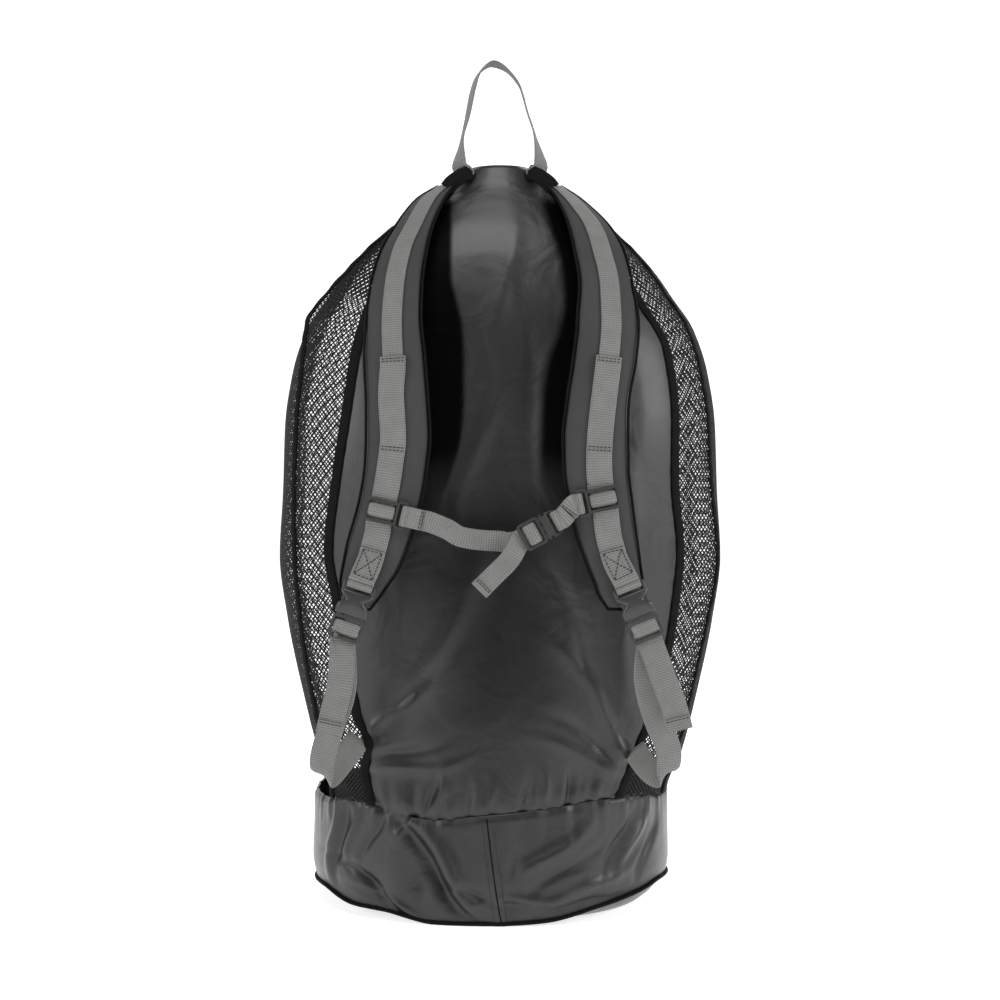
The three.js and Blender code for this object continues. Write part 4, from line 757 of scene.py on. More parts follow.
# ------------------------------------------------------------
# Webbing: woven polyester straps. Each is a flat band with rounded edges carried along its
# stations, where a station is a place and the direction of the strap's width.
webbing = woven("webbing", (0.0016, 0.0024), 0.0009,
                ((0.210, 0.209, 0.203), (0.300, 0.298, 0.289)), 60,
                {"Roughness": 0.75, "Specular IOR Level": 0.3}, by_uv=True)[0]


def smooth_path(values, count):
    """Catmull-Rom curve through rows of values, with count steps between two rows."""
    values = np.asarray(values, float)
    padded = np.concatenate([2 * values[:1] - values[1:2], values, 2 * values[-1:] - values[-2:-1]])
    step = np.arange((len(values) - 1) * count + 1) / count
    i = np.minimum(step.astype(int), len(values) - 2)
    t = (step - i)[:, None]
    a, b, c, d = (padded[i + k] for k in range(4))
    return 0.5 * (2 * b + (c - a) * t + (2 * a - 5 * b + 4 * c - d) * t**2
                  + (3 * b - a - 3 * c + d) * t**3)


WIDE_WEB, NARROW_WEB = 0.025, 0.020


class Strap:
    """Smooth centre line with the strap's width direction and outward direction at each step."""

    def __init__(self, stations, width, thickness, steps=4):
        self.at = smooth_path([station[0] for station in stations], steps)
        self.along = unit(np.gradient(self.at, axis=0))
        wide = smooth_path([station[1] for station in stations], steps)
        self.across = unit(wide - self.along * np.sum(wide * self.along, -1, keepdims=True))
        self.out = np.cross(self.across, self.along)
        self.width, self.thickness = width, thickness
        self.run = path_length(self.at)

    def spot(self, run, aside):
        """Points on the face towards -Y: run metres along, aside metres from the middle; with
        the directions along, across and out there."""
        def read(values):
            return np.stack([np.interp(run, self.run, values[:, k]) for k in range(3)], -1)
        across, out = unit(read(self.across)), unit(read(self.out))
        out = out * np.where(out[..., 1:2] < 0, 1, -1)
        at = read(self.at) + across * np.asarray(aside)[..., None] + out * self.thickness / 2
        return at, unit(read(self.along)), across, out

    def run_at(self, height):
        """Metres along the strap where it first passes a height."""
        return self.run[np.nonzero(np.diff(np.sign(self.at[:, 2] - height)))[0][0]]

    def piece(self, name, material, node=None):
        """Flat band: its section is a slim rectangle whose edges thin out and round off."""
        t = np.concatenate([np.linspace(-1, 1, 11), np.linspace(1, -1, 11)])
        face = np.repeat([1, -1], 11)
        thin = (1 - 0.75 * np.abs(t)**10) * face * self.thickness / 2
        points = (self.at[:, None] + self.across[:, None] * (t * self.width / 2)[None, :, None]
                  + self.out[:, None] * thin[None, :, None])
        piece = add_piece(name, points.reshape(-1, 3), grid_faces(len(self.at), len(t), True),
                          material)
        corner = np.zeros(len(piece.data.loops), np.int32)
        piece.data.loops.foreach_get("vertex_index", corner)
        threads = np.stack([np.tile(t * self.width / 2, len(self.at)),
                            np.repeat(self.run, len(t))], 1)
        piece.data.uv_layers.new(name="strap_uv").data.foreach_set("uv",
                                                                   threads[corner].reshape(-1))
        close_up(piece, len(t))
        return hand_over(piece, node)


# Thread: dark stitches, each a small rounded bar
thread = woven("thread", (0.0004, 0.0004), 0.0001, (grey(0.012), grey(0.030)), 90,
               {"Roughness": 0.6})[0]
STITCH_LENGTH, STITCH_STEP, STITCH_RADIUS = 0.0030, 0.0034, 0.00050
STITCH_REACH = np.array([-0.5, -0.38, 0, 0.38, 0.5]) * STITCH_LENGTH
STITCH_THICK = np.array([0.0, 0.8, 1.0, 0.8, 0.0]) * STITCH_RADIUS
STITCH_SINK = 0.35


def stitch_bars(name, centres, alongs, outs, sides=6):
    """All stitches of a seam as one mesh: six-sided bars, thick in the middle and closed by a
    point at each end."""
    angle = round_angles(sides)
    aside = np.cross(alongs, outs)
    ring = (aside[:, None, None] * np.cos(angle)[None, None, :, None]
            + outs[:, None, None] * np.sin(angle)[None, None, :, None])
    points = (centres[:, None, None]
              + alongs[:, None, None] * STITCH_REACH[None, :, None, None]
              + ring * STITCH_THICK[None, :, None, None])
    first = len(STITCH_REACH) * sides * np.arange(len(centres))[:, None, None]
    faces = (grid_faces(len(STITCH_REACH), sides, True)[None] + first).reshape(-1, 4)
    piece = add_piece(name, points.reshape(-1, 3), faces, thread)
    close_up(piece, merge=True)
    hand_over(piece)


ROW_ASIDE = 0.020
seam_spots = np.arange(0.05, 0.96, STITCH_STEP / BASE_HEIGHT)
for side in SIGN:
    row_at, row_out = base_skin(upright_turn(seam_spots) + SIGN[side] * ROW_ASIDE, seam_spots)
    stitch_bars(f"base_seam_{side}_row", row_at, unit(np.gradient(row_at, axis=0)), row_out)


def strap_stitches(name, strap, lines):
    """Rows of stitches on the strap's face in view. A line runs from one place, metres along
    the strap and metres aside from its middle, to another."""
    spots, headings = [], []
    for start, end in np.array(lines, float):
        length = math.hypot(*(end - start))
        count = max(int(length / STITCH_STEP), 2)
        share = ((np.arange(count) + 0.5) / count)[:, None]
        spots.append(start + (end - start) * share)
        headings.append(np.broadcast_to((end - start) / length, (count, 2)))
    spots, headings = np.concatenate(spots), np.concatenate(headings)
    at, along, across, out = strap.spot(spots[:, 0], spots[:, 1])
    direction = along * headings[:, :1] + across * headings[:, 1:]
    stitch_bars(name, at + out * STITCH_RADIUS * STITCH_SINK, unit(direction), out)


def cross_row(run, half):
    """Row of stitches across a strap."""
    return [((run, -half), (run, half))]


def box_with_cross(run_a, run_b, half):
    """Sewn box with a cross in it."""
    a, b, c, d = (run_a, -half), (run_a, half), (run_b, half), (run_b, -half)
    return [(a, b), (b, c), (c, d), (d, a), (a, c), (b, d)]


HEM_EXTRA, HEM_GAP = 0.0002, 0.0001


def strap_hem(name, strap, length):
    """The end of a strap turned over on itself: a second layer on the face in view."""
    run = np.linspace(strap.run[-1] - length, strap.run[-1] - HEM_EXTRA, 5)
    at, _, across, out = strap.spot(run, np.zeros(5))
    hem = Strap(list(zip(at + out * (strap.thickness / 2 + HEM_GAP), across)),
                strap.width + HEM_EXTRA, strap.thickness)
    hem.piece(name, webbing)
    return hem


def cross_line(degrees):
    return np.array([math.cos(math.radians(degrees)), 0, -math.sin(math.radians(degrees))])


def hand_station(x, height, depth, turn):
    """Station from shares of the bag's half width, height and half depth."""
    return (np.array([x * HALF_WIDTH, -depth * HALF_DEPTH, height * BODY_HEIGHT]),
            cross_line(turn))


# ------------------------------------------------------------
# Carry handle: a loop of 25 mm webbing seen nearly edge on. Its two feet lie flat on the bag's
# top corners, sewn down under the black pieces that carry the shoulder pads.
HANDLE_THICKNESS = 0.002
HANDLE_LOOP = [
    # x, height, depth, turn of the width towards +Y
    (-0.181, 1.004, 0.325, 52), (-0.170, 1.037, 0.290, 80), (-0.144, 1.071, 0.273, 76),
    (-0.123, 1.105, 0.255, 74), (-0.098, 1.130, 0.242, 76), (-0.056, 1.143, 0.242, 80),
    (-0.020, 1.145, 0.242, 84), (0.030, 1.137, 0.242, 84), (0.080, 1.119, 0.242, 84),
    (0.103, 1.100, 0.255, 86), (0.125, 1.074, 0.273, 84), (0.156, 1.044, 0.290, 82),
    (0.181, 1.004, 0.325, 54),
]
HANDLE_FOOT_TURN = math.radians(54)
HANDLE_FOOT_SHARES = (0.980, 0.990)


def handle_foot(side, share):
    turn, height = SIGN[side] * HANDLE_FOOT_TURN, share * BODY_HEIGHT
    aside = wall(turn + SIGN[side] * 0.05, height) - wall(turn, height)
    return off_wall(turn, height, HANDLE_THICKNESS / 2 + 0.0006), unit(aside)


def handle_station(x, height, depth, turn):
    lean = math.copysign(1, x)
    width = np.array([lean * math.cos(math.radians(turn)), math.sin(math.radians(turn)), 0])
    return hand_station(x, height, depth, 0)[0], width


handle_path = ([handle_foot("left", share) for share in HANDLE_FOOT_SHARES]
               + [handle_station(*row) for row in HANDLE_LOOP]
               + [handle_foot("right", share) for share in HANDLE_FOOT_SHARES[::-1]])
Strap(handle_path, WIDE_WEB, HANDLE_THICKNESS, 6).piece("top_handle", webbing, "carry_handle")

# ------------------------------------------------------------
# Shoulder pads: foam in a plain woven cover, wider in the middle and cut to a slanted tip. The
# cover is swollen a little by a cloth simulation, and tape is sewn round the pad's edge.
PAD_WIDTH = 0.060
PAD_THICKNESS, PAD_EDGE_THICKNESS = 0.011, 0.005
PAD_ROWS = np.array([
    # height, left at, right at, left wide, right wide, depth, turn, left web, right web
    (0.4095, 0.571, 0.476, 0.32, 0.28, 1.055, 0.00, 0.00, 0.00),
    (0.4324, 0.560, 0.487, 0.69, 0.727, 1.073, 0.04, 0.09, 0.08),
    (0.4627, 0.524, 0.464, 0.918, 0.85, 1.091, 0.06, 0.04, 0.045),
    (0.5017, 0.4857, 0.433, 1.00, 0.96, 1.103, 0.06, 0.05, 0.025),
    (0.5415, 0.448, 0.409, 1.00, 1.013, 1.109, 0.05, 0.10, 0.04),
    (0.584, 0.4235, 0.390, 1.00, 1.04, 1.109, 0.04, 0.09, 0.04),
    (0.6255, 0.414, 0.3876, 1.03, 1.045, 1.100, 0.04, 0.07, 0.065),
    (0.672, 0.419, 0.399, 1.00, 1.00, 1.080, 0.05, 0.09, 0.09),
    (0.7228, 0.4305, 0.427, 0.985, 1.02, 1.050, 0.08, 0.02, 0.06),
    (0.7746, 0.438, 0.444, 0.90, 1.00, 1.000, 0.12, 0.02, 0.05),
    (0.823, 0.4315, 0.441, 0.86, 0.88, 0.920, 0.20, 0.02, 0.05),
    (0.8715, 0.407, 0.419, 0.79, 0.85, 0.800, 0.27, 0.02, 0.03),
    (0.9075, 0.370, 0.384, 0.67, 0.73, 0.680, 0.33, 0.00, 0.05),
    (0.953, 0.299, 0.297, 0.52, 0.46, 0.520, 0.37, 0.02, 0.02),
    (0.9735, 0.231, 0.229, 0.33, 0.31, 0.455, 0.37, 0.03, 0.03),
])
PAD_AT = {"left": 1, "right": 2}
PAD_WIDE = {"left": 3, "right": 4}
PAD_DEPTH, PAD_TURN = 5, 6
PAD_WEB = {"left": 7, "right": 8}
PAD_TIP, PAD_TOP = PAD_ROWS[0, 0] * BODY_HEIGHT, PAD_ROWS[-1, 0] * BODY_HEIGHT

pad_cloth = woven("pad_cloth", (0.0010, 0.0010), 0.0003,
                  ((0.046, 0.046, 0.047), (0.074, 0.074, 0.075)), 14,
                  {"Roughness": 0.72, "Specular IOR Level": 0.3}, wrinkle=0.0012)[0]


def pad_point(side, height, reach, lift):
    """Point of a pad: reach runs across it from its inner edge, -1, to its outer edge, 1, and
    lift through it from the face on the bag, -1, to the face in view, 1."""
    share = np.asarray(height, float) / BODY_HEIGHT
    reach, lift = np.asarray(reach, float), np.asarray(lift, float)
    centre = SIGN[side] * HALF_WIDTH * read_table(PAD_ROWS, share, PAD_AT[side])
    half = PAD_WIDTH * read_table(PAD_ROWS, share, PAD_WIDE[side]) / 2
    crown = PAD_EDGE_THICKNESS + (PAD_THICKNESS - PAD_EDGE_THICKNESS) * (
        1 - np.minimum(np.abs(reach), 1)**4)
    back = PAD_WIDTH * read_table(PAD_ROWS, share, PAD_TURN) * (reach + 1) / 2
    y = -HALF_DEPTH * read_table(PAD_ROWS, share, PAD_DEPTH) + back - lift * crown / 2
    x = centre + SIGN[side] * half * reach
    return np.stack(np.broadcast_arrays(x, y, np.asarray(height, float)), -1)


# Shade on the panel: a band beside each pad's inner edge, out to these x, and a dim hollow below
SHADE_ROWS = np.array([
    # height, left x, right x: all in metres
    (0.3700, -0.0780, 0.0480), (0.3926, -0.0720, 0.0440), (0.4220, -0.0580, 0.0400),
    (0.4514, -0.0470, 0.0390), (0.4906, -0.0373, 0.0400), (0.5200, -0.0354, 0.0413),
    (0.5600, -0.0356, 0.0474), (0.5910, -0.0367, 0.0580), (0.6220, -0.0430, 0.0640),
    (0.6480, -0.0485, 0.0620), (0.6975, -0.0490, 0.0520), (0.7320, -0.0496, 0.0424),
    (0.7484, -0.0470, 0.0390), (0.7720, -0.0380, 0.0360),
])
HOLLOW_X, HOLLOW_Z, HOLLOW_SHADE = (-0.006, 0.060), (0.295, 0.130), 0.50
BAND_SHADE, BAND_END, BAND_END_REACH, BAND_FOOT_REACH = 0.97, 0.022, 0.006, 0.10
BAND_SOFTNESS = {"left": 0.005, "right": 0.011}


def panel_shade(x, z):
    """Shade of the panel's points, from 0 in the open to 1."""
    drift = 0.010 * np.sin(z * 31) + 0.005 * np.sin(z * 83 + 1)
    shade = HOLLOW_SHADE * np.exp(-((x - HOLLOW_X[0] - drift) / HOLLOW_X[1])**4
                                  - ((z - HOLLOW_Z[0]) / HOLLOW_Z[1])**4)
    fade = np.clip((z - SHADE_ROWS[0, 0]) / BAND_FOOT_REACH, 0, 1)
    for side, softness in BAND_SOFTNESS.items():
        limit = read_table(SHADE_ROWS, z, SIDE_COLUMN[side])
        band = np.clip(SIGN[side] * (x - limit) / softness + 0.5, 0, 1)
        inner = pad_point(side, np.clip(z, PAD_TIP, PAD_TOP), -1, 0)[..., 0]
        band = band * np.clip((SIGN[side] * (inner - x) + BAND_END) / BAND_END_REACH, 0, 1)
        shade = np.maximum(shade, BAND_SHADE * band * band * (3 - 2 * band) * fade)
    return shade


# The panel's thickness is made into mesh, outside first, so that its inside has no shade
thick_panel = bpy.data.meshes.new_from_object(
    panel_cloth.evaluated_get(bpy.context.evaluated_depsgraph_get()))
panel_cloth.modifiers.clear()
panel_cloth.data = thick_panel
shade_values = np.zeros(len(thick_panel.vertices))
shade_values[:panel_grid[..., 0].size] = panel_shade(panel_grid[..., 0],
                                                     panel_grid[..., 2]).reshape(-1)
shade_layer = thick_panel.attributes.new(PAD_SHADE, "FLOAT", "POINT")
shade_layer.data.foreach_set("value", shade_values)
COVER_PRESSURE, COVER_FRAMES, COVER_CAP = 4, 20, 0.0012


def read_points(mesh):
    values = np.zeros(len(mesh.vertices) * 3)
    mesh.vertices.foreach_get("co", values)
    return values.reshape(-1, 3)


def swell(piece):
    """Fills a closed cover: cloth under pressure for some frames, then no point is left more
    than the cap from where it began, and one subdivision smooths the result."""
    before = read_points(piece.data)
    cloth = piece.modifiers.new("cloth", "CLOTH")
    cloth.settings.use_pressure = True
    cloth.settings.uniform_pressure_force = COVER_PRESSURE
    cloth.settings.effector_weights.gravity = 0
    scene = bpy.context.scene
    for step in range(1, COVER_FRAMES + 1):
        scene.frame_set(step)
    depsgraph = bpy.context.evaluated_depsgraph_get()
    moved_mesh = bpy.data.meshes.new_from_object(piece.evaluated_get(depsgraph))
    move = read_points(moved_mesh) - before
    far = np.linalg.norm(move, axis=1, keepdims=True)
    move = move * np.minimum(1, COVER_CAP / np.maximum(far, 1e-9))
    piece.modifiers.remove(cloth)
    scene.frame_set(1)
    piece.data.vertices.foreach_set("co", (before + move).reshape(-1))
    bpy.data.meshes.remove(moved_mesh)
    piece.data.update()
    smooth = piece.modifiers.new("smooth", "SUBSURF")
    smooth.levels = smooth.render_levels = 1


COVER_ROWS, COVER_ROUND = 115, 40
COVER_REACH, COVER_LIFT, SIDE_ROUNDNESS, FACE_ROUNDNESS = 0.985, 0.90, 0.6, 0.5
EDGE_ROWS, TIP_ROWS, EDGE_ROUND = 90, 11, 14
EDGE_OUT, EDGE_HALF_THICK, EDGE_HALF_WIDE = 0.0004, 0.0014, 0.0034
for side in SIGN:
    angle = round_angles(COVER_ROUND)
    reach = COVER_REACH * signed_power(np.cos(angle), SIDE_ROUNDNESS)
    lift = COVER_LIFT * signed_power(np.sin(angle), FACE_ROUNDNESS)
    height = np.linspace(PAD_TOP - 0.001, PAD_TIP + 0.001, COVER_ROWS)[:, None]
    cover_points = pad_point(side, height, reach[None, :], lift[None, :])
    pad_cover = add_piece(f"pad_cover_{side}", cover_points.reshape(-1, 3),
                          grid_faces(COVER_ROWS, COVER_ROUND, True), pad_cloth)
    close_up(pad_cover, COVER_ROUND)
    swell(pad_cover)
    hand_over(pad_cover, f"shoulder_pad_{side}")

    # Tape round the edge: a flat oval section, down the inner edge, round the tip and up again
    down = np.linspace(PAD_TOP, PAD_TIP, EDGE_ROWS)
    edge_height = np.concatenate([down, np.full(TIP_ROWS, PAD_TIP), down[::-1]])
    edge_reach = np.concatenate([np.full(EDGE_ROWS, -1.0), np.linspace(-0.9, 0.9, TIP_ROWS),
                                 np.full(EDGE_ROWS, 1.0)])
    spine = pad_point(side, edge_height, edge_reach, 0)
    along = unit(np.gradient(spine, axis=0))
    along = unit(along + np.roll(along, 1, 0) + np.roll(along, -1, 0))
    outward = unit(np.cross(along, (0, -1, 0))) * SIGN[side]
    spin = round_angles(EDGE_ROUND)
    section = (outward[:, None] * (EDGE_OUT + EDGE_HALF_THICK * np.cos(spin))[None, :, None]
               + np.array([0, -1, 0]) * (EDGE_HALF_WIDE * np.sin(spin))[None, :, None])
    pad_edge = add_piece(f"pad_edge_{side}", (spine[:, None] + section).reshape(-1, 3),
                         grid_faces(len(spine), EDGE_ROUND, True), edge_tape)
    close_up(pad_edge, EDGE_ROUND)
    hand_over(pad_edge, f"pad_binding_{side}")

# ------------------------------------------------------------
# Strap anchors: short black webbing pieces from the panel's top corners to the pads' heads
ANCHOR_WIDTH, ANCHOR_THICKNESS, ANCHOR_TILT = 0.016, 0.0022, -52
ANCHOR_ROWS = [
    # x, y, height: all in metres, x on the right side
    (0.0285, -0.0590, 0.7668), (0.0400, -0.0700, 0.7590), (0.0495, -0.0770, 0.7508),
    (0.0545, -0.0800, 0.7440),
]
for side in SIGN:
    anchor_path = [(np.array([SIGN[side] * x, y, height]), cross_line(ANCHOR_TILT * SIGN[side]))
                   for x, y, height in ANCHOR_ROWS]
    Strap(anchor_path, ANCHOR_WIDTH, ANCHOR_THICKNESS, 8).piece(f"anchor_{side}", edge_tape,
                                                                f"strap_anchor_{side}")

# ------------------------------------------------------------
# Shoulder webbing: a 20 mm strap sewn down each pad, and the 25 mm adjusting strap that goes
# through the sternum slider and round the bar of the side-release buckle.
WEB_THICKNESS, WEB_LIFT, LAYER_GAP = 0.0015, 0.001, 0.0003
PLASTIC_THICKNESS, BAR_HALF, SLOT_HEIGHT, BAR_HEIGHT = 0.003, 0.0026, 0.0058, 0.0032
THREAD_BACK = PLASTIC_THICKNESS / 2 + WEB_THICKNESS / 2 + LAYER_GAP + 0.0001
SLOT_EDGE = BAR_HALF + SLOT_HEIGHT
THREADING = [
    # up the strap, towards the viewer
    (SLOT_EDGE + BAR_HEIGHT + 0.001, -THREAD_BACK), (SLOT_EDGE + 0.0006, -THREAD_BACK),
    (SLOT_EDGE - 0.0012, -THREAD_BACK + 0.0003), (BAR_HALF + 0.0012, THREAD_BACK - 0.0003),
    (BAR_HALF - 0.0004, THREAD_BACK),
]


class PartFrame:
    """Local frame of a plastic part: across its strap, up the strap, towards the viewer."""

    def __init__(self, at, across):
        self.at, self.across = np.asarray(at, float), across
        self.out = np.array([0.0, -1, 0])
        self.up = np.cross(self.out, across)

    def station(self, up, out, flip=1):
        return self.at + self.up * up + self.out * out, self.across * flip


def web_on_pad(side, share, layer):
    height = share * BODY_HEIGHT
    reach = 2 * read_table(PAD_ROWS, share, PAD_WEB[side]) / read_table(PAD_ROWS, share,
                                                                       PAD_WIDE[side])
    at, inner, outer = (pad_point(side, height, reach + step, 1) for step in (0, -0.3, 0.3))
    at[1] = min(at[1], (inner[1] + outer[1]) / 2)
    at[1] -= LAYER_GAP + WEB_THICKNESS / 2 + layer * (WEB_THICKNESS + LAYER_GAP) + WEB_LIFT
    return at, unit((outer - inner) * SIGN[side])


SLIDERS = {"left": (0.533, 13), "right": (0.548, -12)}
BUCKLES = {"left": (-0.620, 0.387, 1.152, 18), "right": (0.585, 0.387, 1.152, -22)}
BUCKLE_LENGTH = 0.043
slider_frame, buckle_frame = {}, {}
for side in SIGN:
    share, tilt = SLIDERS[side]
    at = web_on_pad(side, share, 0)[0] - np.array([0, THREAD_BACK, 0])
    slider_frame[side] = PartFrame(at, cross_line(tilt))
    x, share, depth, tilt = BUCKLES[side]
    buckle_frame[side] = PartFrame(hand_station(x, share, depth, 0)[0], cross_line(tilt))


def thread_down(part):
    return ([part.station(up, out) for up, out in THREADING]
            + [part.station(-up, out) for up, out in THREADING[::-1]])


LOOP_RADIUS = 0.0018 * math.sqrt(2) + WEB_THICKNESS / 2 + LAYER_GAP
ROUND_BAR = (-150, -110, -70, -35, 0, 35, 70, 110, 150)


def round_bar(part, up, radius, way=1, flip=1):
    """Stations round a bar, from behind it to its front, or back again when way is -1."""
    return [part.station(up - radius * math.cos(math.radians(way * angle)),
                         radius * math.sin(math.radians(way * angle)), flip)
            for angle in ROUND_BAR]


UPPER_WEB_END = 0.715
MIDDLE_TACK_HEIGHT = 0.467
TACK_HALF, TACK_STEP = 0.0115, 0.003
for side in SIGN:
    top = PAD_ROWS[-1, 0] - 0.004
    upper = Strap([web_on_pad(side, share, 0) for share in np.linspace(top, UPPER_WEB_END, 15)],
                  NARROW_WEB, WEB_THICKNESS)
    upper.piece(f"upper_strap_{side}", webbing, f"upper_webbing_{side}")

    above = SLIDERS[side][0] + 0.02
    path = [web_on_pad(side, max(share, above), layer) for share, layer in (
        (0.727, 1), (0.712, 1), (0.680, 0), (0.650, 0), (0.620, 0), (0.590, 0), (0.567, 0))]
    path += thread_down(slider_frame[side])
    path += [web_on_pad(side, share, 0) for share in (0.505, 0.485, 0.468)]
    part = buckle_frame[side]
    path.append(part.station(BUCKLE_LENGTH + 2 * LOOP_RADIUS, -LOOP_RADIUS))
    path += round_bar(part, BUCKLE_LENGTH, LOOP_RADIUS)
    path.append(part.station(BUCKLE_LENGTH + 2 * LOOP_RADIUS, LOOP_RADIUS))
    path += [web_on_pad(side, share, 1) for share in (0.474, 0.485)]
    lower = Strap(path, WIDE_WEB, WEB_THICKNESS)
    lower.piece(f"lower_strap_on_pad_{side}", webbing, f"lower_webbing_{side}")
    end, tacks = lower.run[-1], []
    for start in (0.0025, lower.run_at(MIDDLE_TACK_HEIGHT)):
        tacks += cross_row(start, TACK_HALF) + cross_row(start + TACK_STEP, TACK_HALF)
    strap_stitches(f"pad_stitches_{side}", lower,
                   tacks + box_with_cross(end - 0.0015, end - 0.0285, 0.0095))

# ------------------------------------------------------------
# Plastic parts: moulded acetal sliders and side-release buckles. Each keeps the outline of its
# CAD solid, with its edges rounded and a fine satin grain.
satin_plastic, plastic_shader = principled("satin_plastic", {"Roughness": 0.36})
plastic_tree = satin_plastic.node_tree
plastic_place = shader_node(plastic_tree, "TexCoord", {}).outputs["Object"]
grain = shader_node(plastic_tree, "TexNoise", {"Vector": plastic_place, "Scale": 900})
grain_bump = shader_node(plastic_tree, "Bump", {"Strength": 0.25, "Distance": 0.0002,
                                                "Height": grain.outputs["Fac"]})
plastic_tree.links.new(grain_bump.outputs["Normal"], plastic_shader.inputs["Normal"])
wear = shader_node(plastic_tree, "TexNoise", {"Vector": plastic_place, "Scale": 55})
wear_tones = shader_node(plastic_tree, "Mix", {
    "Factor": wear.outputs["Fac"], "A": (0.024, 0.0236, 0.0228, 1),
    "B": (0.040, 0.0392, 0.0380, 1)}, data_type="RGBA")
plastic_tree.links.new(wear_tones.outputs["Result"], plastic_shader.inputs["Base Color"])


EDGE_ROUNDING = 0.0005


def moulded_copy(node_name):
    """Copy of a CAD solid with its loose corners merged, flat faces joined and edges rounded."""
    mesh = nodes[node_name].data.copy()
    work = bmesh.new()
    work.from_mesh(mesh)
    bmesh.ops.remove_doubles(work, verts=work.verts, dist=2e-5)
    bmesh.ops.dissolve_limit(work, angle_limit=math.radians(1.5), verts=work.verts,
                             edges=work.edges)
    sharp = [e for e in work.edges if len(e.link_faces) == 2
             and e.calc_face_angle(0) > math.radians(25)]
    bmesh.ops.bevel(work, geom=sharp, offset=EDGE_ROUNDING, segments=2, profile=0.5,
                    affect="EDGES", clamp_overlap=True)
    bmesh.ops.triangulate(work, faces=work.faces)
    work.to_mesh(mesh)
    work.free()
    mesh.materials.clear()
    mesh.materials.append(satin_plastic)
    hand_over(link_object(f"moulded_{node_name}", mesh), node_name)


for plastic_node in ("sternum_slider_left", "sternum_slider_right", "buckle_plug_left",
                     "buckle_plug_right", "sternum_buckle_socket", "sternum_buckle_plug"):
    moulded_copy(plastic_node)

# Side-release sockets: a crowned shell whose sides are cut in round the two prongs, and two arms
# that carry the bar for the shoulder webbing
SOCKET_FROM, SOCKET_TO, SOCKET_HALF, CUT_IN = 0.0126, 0.0364, 0.0160, 0.0062
SHELL_OUT, SHELL_ROUNDNESS, SHELL_END, SHELL_ROUND = 0.0002, 0.62, 0.06, 28
ARM_ASIDE, ARM_OVERLAP, ARM_END, ARM_ROUNDNESS = 0.0144, 0.003, 0.0016, 0.7
ARM_HALF_WIDE, ARM_HALF_THICK = 0.0016, 0.0019
SOCKET_BAR_RADIUS, SOCKET_BAR_HALF = 0.0017, 0.0150


def shell_section(share):
    """Half width and half thickness of the socket's shell, by share from the plug's end."""
    half = SOCKET_HALF - CUT_IN * np.exp(-((share - 0.62) / 0.16)**2)
    ends = np.minimum(np.clip(share / SHELL_END, 0, 1), np.clip((1 - share) / SHELL_END, 0, 1))
    return half * (0.94 + 0.06 * ends), (0.0030 + 0.0016 * np.sin(math.pi * share)) * (
        0.55 + 0.45 * ends**0.5)


def rings_up(part, rows, aside, out, power):
    """Rings of points up a plastic part, from rows of (up, half width, half thickness)."""
    angle = round_angles(SHELL_ROUND)
    rings = []
    for up, wide, thick in rows:
        x = aside + wide * signed_power(np.cos(angle), power)
        y = out + thick * signed_power(np.sin(angle), power)
        rings.append(part.at + part.across * x[:, None] + part.up * up + part.out * y[:, None])
    return rings


def bar_rings(part):
    """Rings of points along the round bar between a socket's arms."""
    return [[part.at + part.across * aside
             + part.up * (BUCKLE_LENGTH + SOCKET_BAR_RADIUS * math.cos(turn))
             + part.out * SOCKET_BAR_RADIUS * math.sin(turn)
             for turn in round_angles(12)]
            for aside in np.linspace(-SOCKET_BAR_HALF, SOCKET_BAR_HALF, 9)]


for side in SIGN:
    part = buckle_frame[side]
    shares = np.linspace(0, 1, 41)
    shell = zip(SOCKET_FROM + (SOCKET_TO - SOCKET_FROM) * shares, *shell_section(shares))
    arm = [(up, ARM_HALF_WIDE, ARM_HALF_THICK)
           for up in np.linspace(SOCKET_TO - ARM_OVERLAP, BUCKLE_LENGTH + ARM_END, 9)]
    forms = [rings_up(part, shell, 0, SHELL_OUT, SHELL_ROUNDNESS),
             rings_up(part, arm, -ARM_ASIDE, 0, ARM_ROUNDNESS),
             rings_up(part, arm, ARM_ASIDE, 0, ARM_ROUNDNESS), bar_rings(part)]
    work = bmesh.new()
    for rings in forms:
        rings = [[work.verts.new(point) for point in ring] for ring in rings]
        for ring, after in zip(rings[:-1], rings[1:]):
            for k, following in enumerate([*range(1, len(ring)), 0]):
                work.faces.new([ring[k], ring[following], after[following], after[k]])
        work.faces.new(rings[0])
        work.faces.new(rings[-1])
    bmesh.ops.recalc_face_normals(work, faces=work.faces)
    socket_mesh = bpy.data.meshes.new(f"socket_body_{side}")
    work.to_mesh(socket_mesh)
    work.free()
    socket_mesh.polygons.foreach_set("use_smooth", np.full(len(socket_mesh.polygons), True))
    socket_mesh.materials.append(satin_plastic)
    hand_over(link_object(f"socket_body_{side}", socket_mesh), f"buckle_socket_{side}")

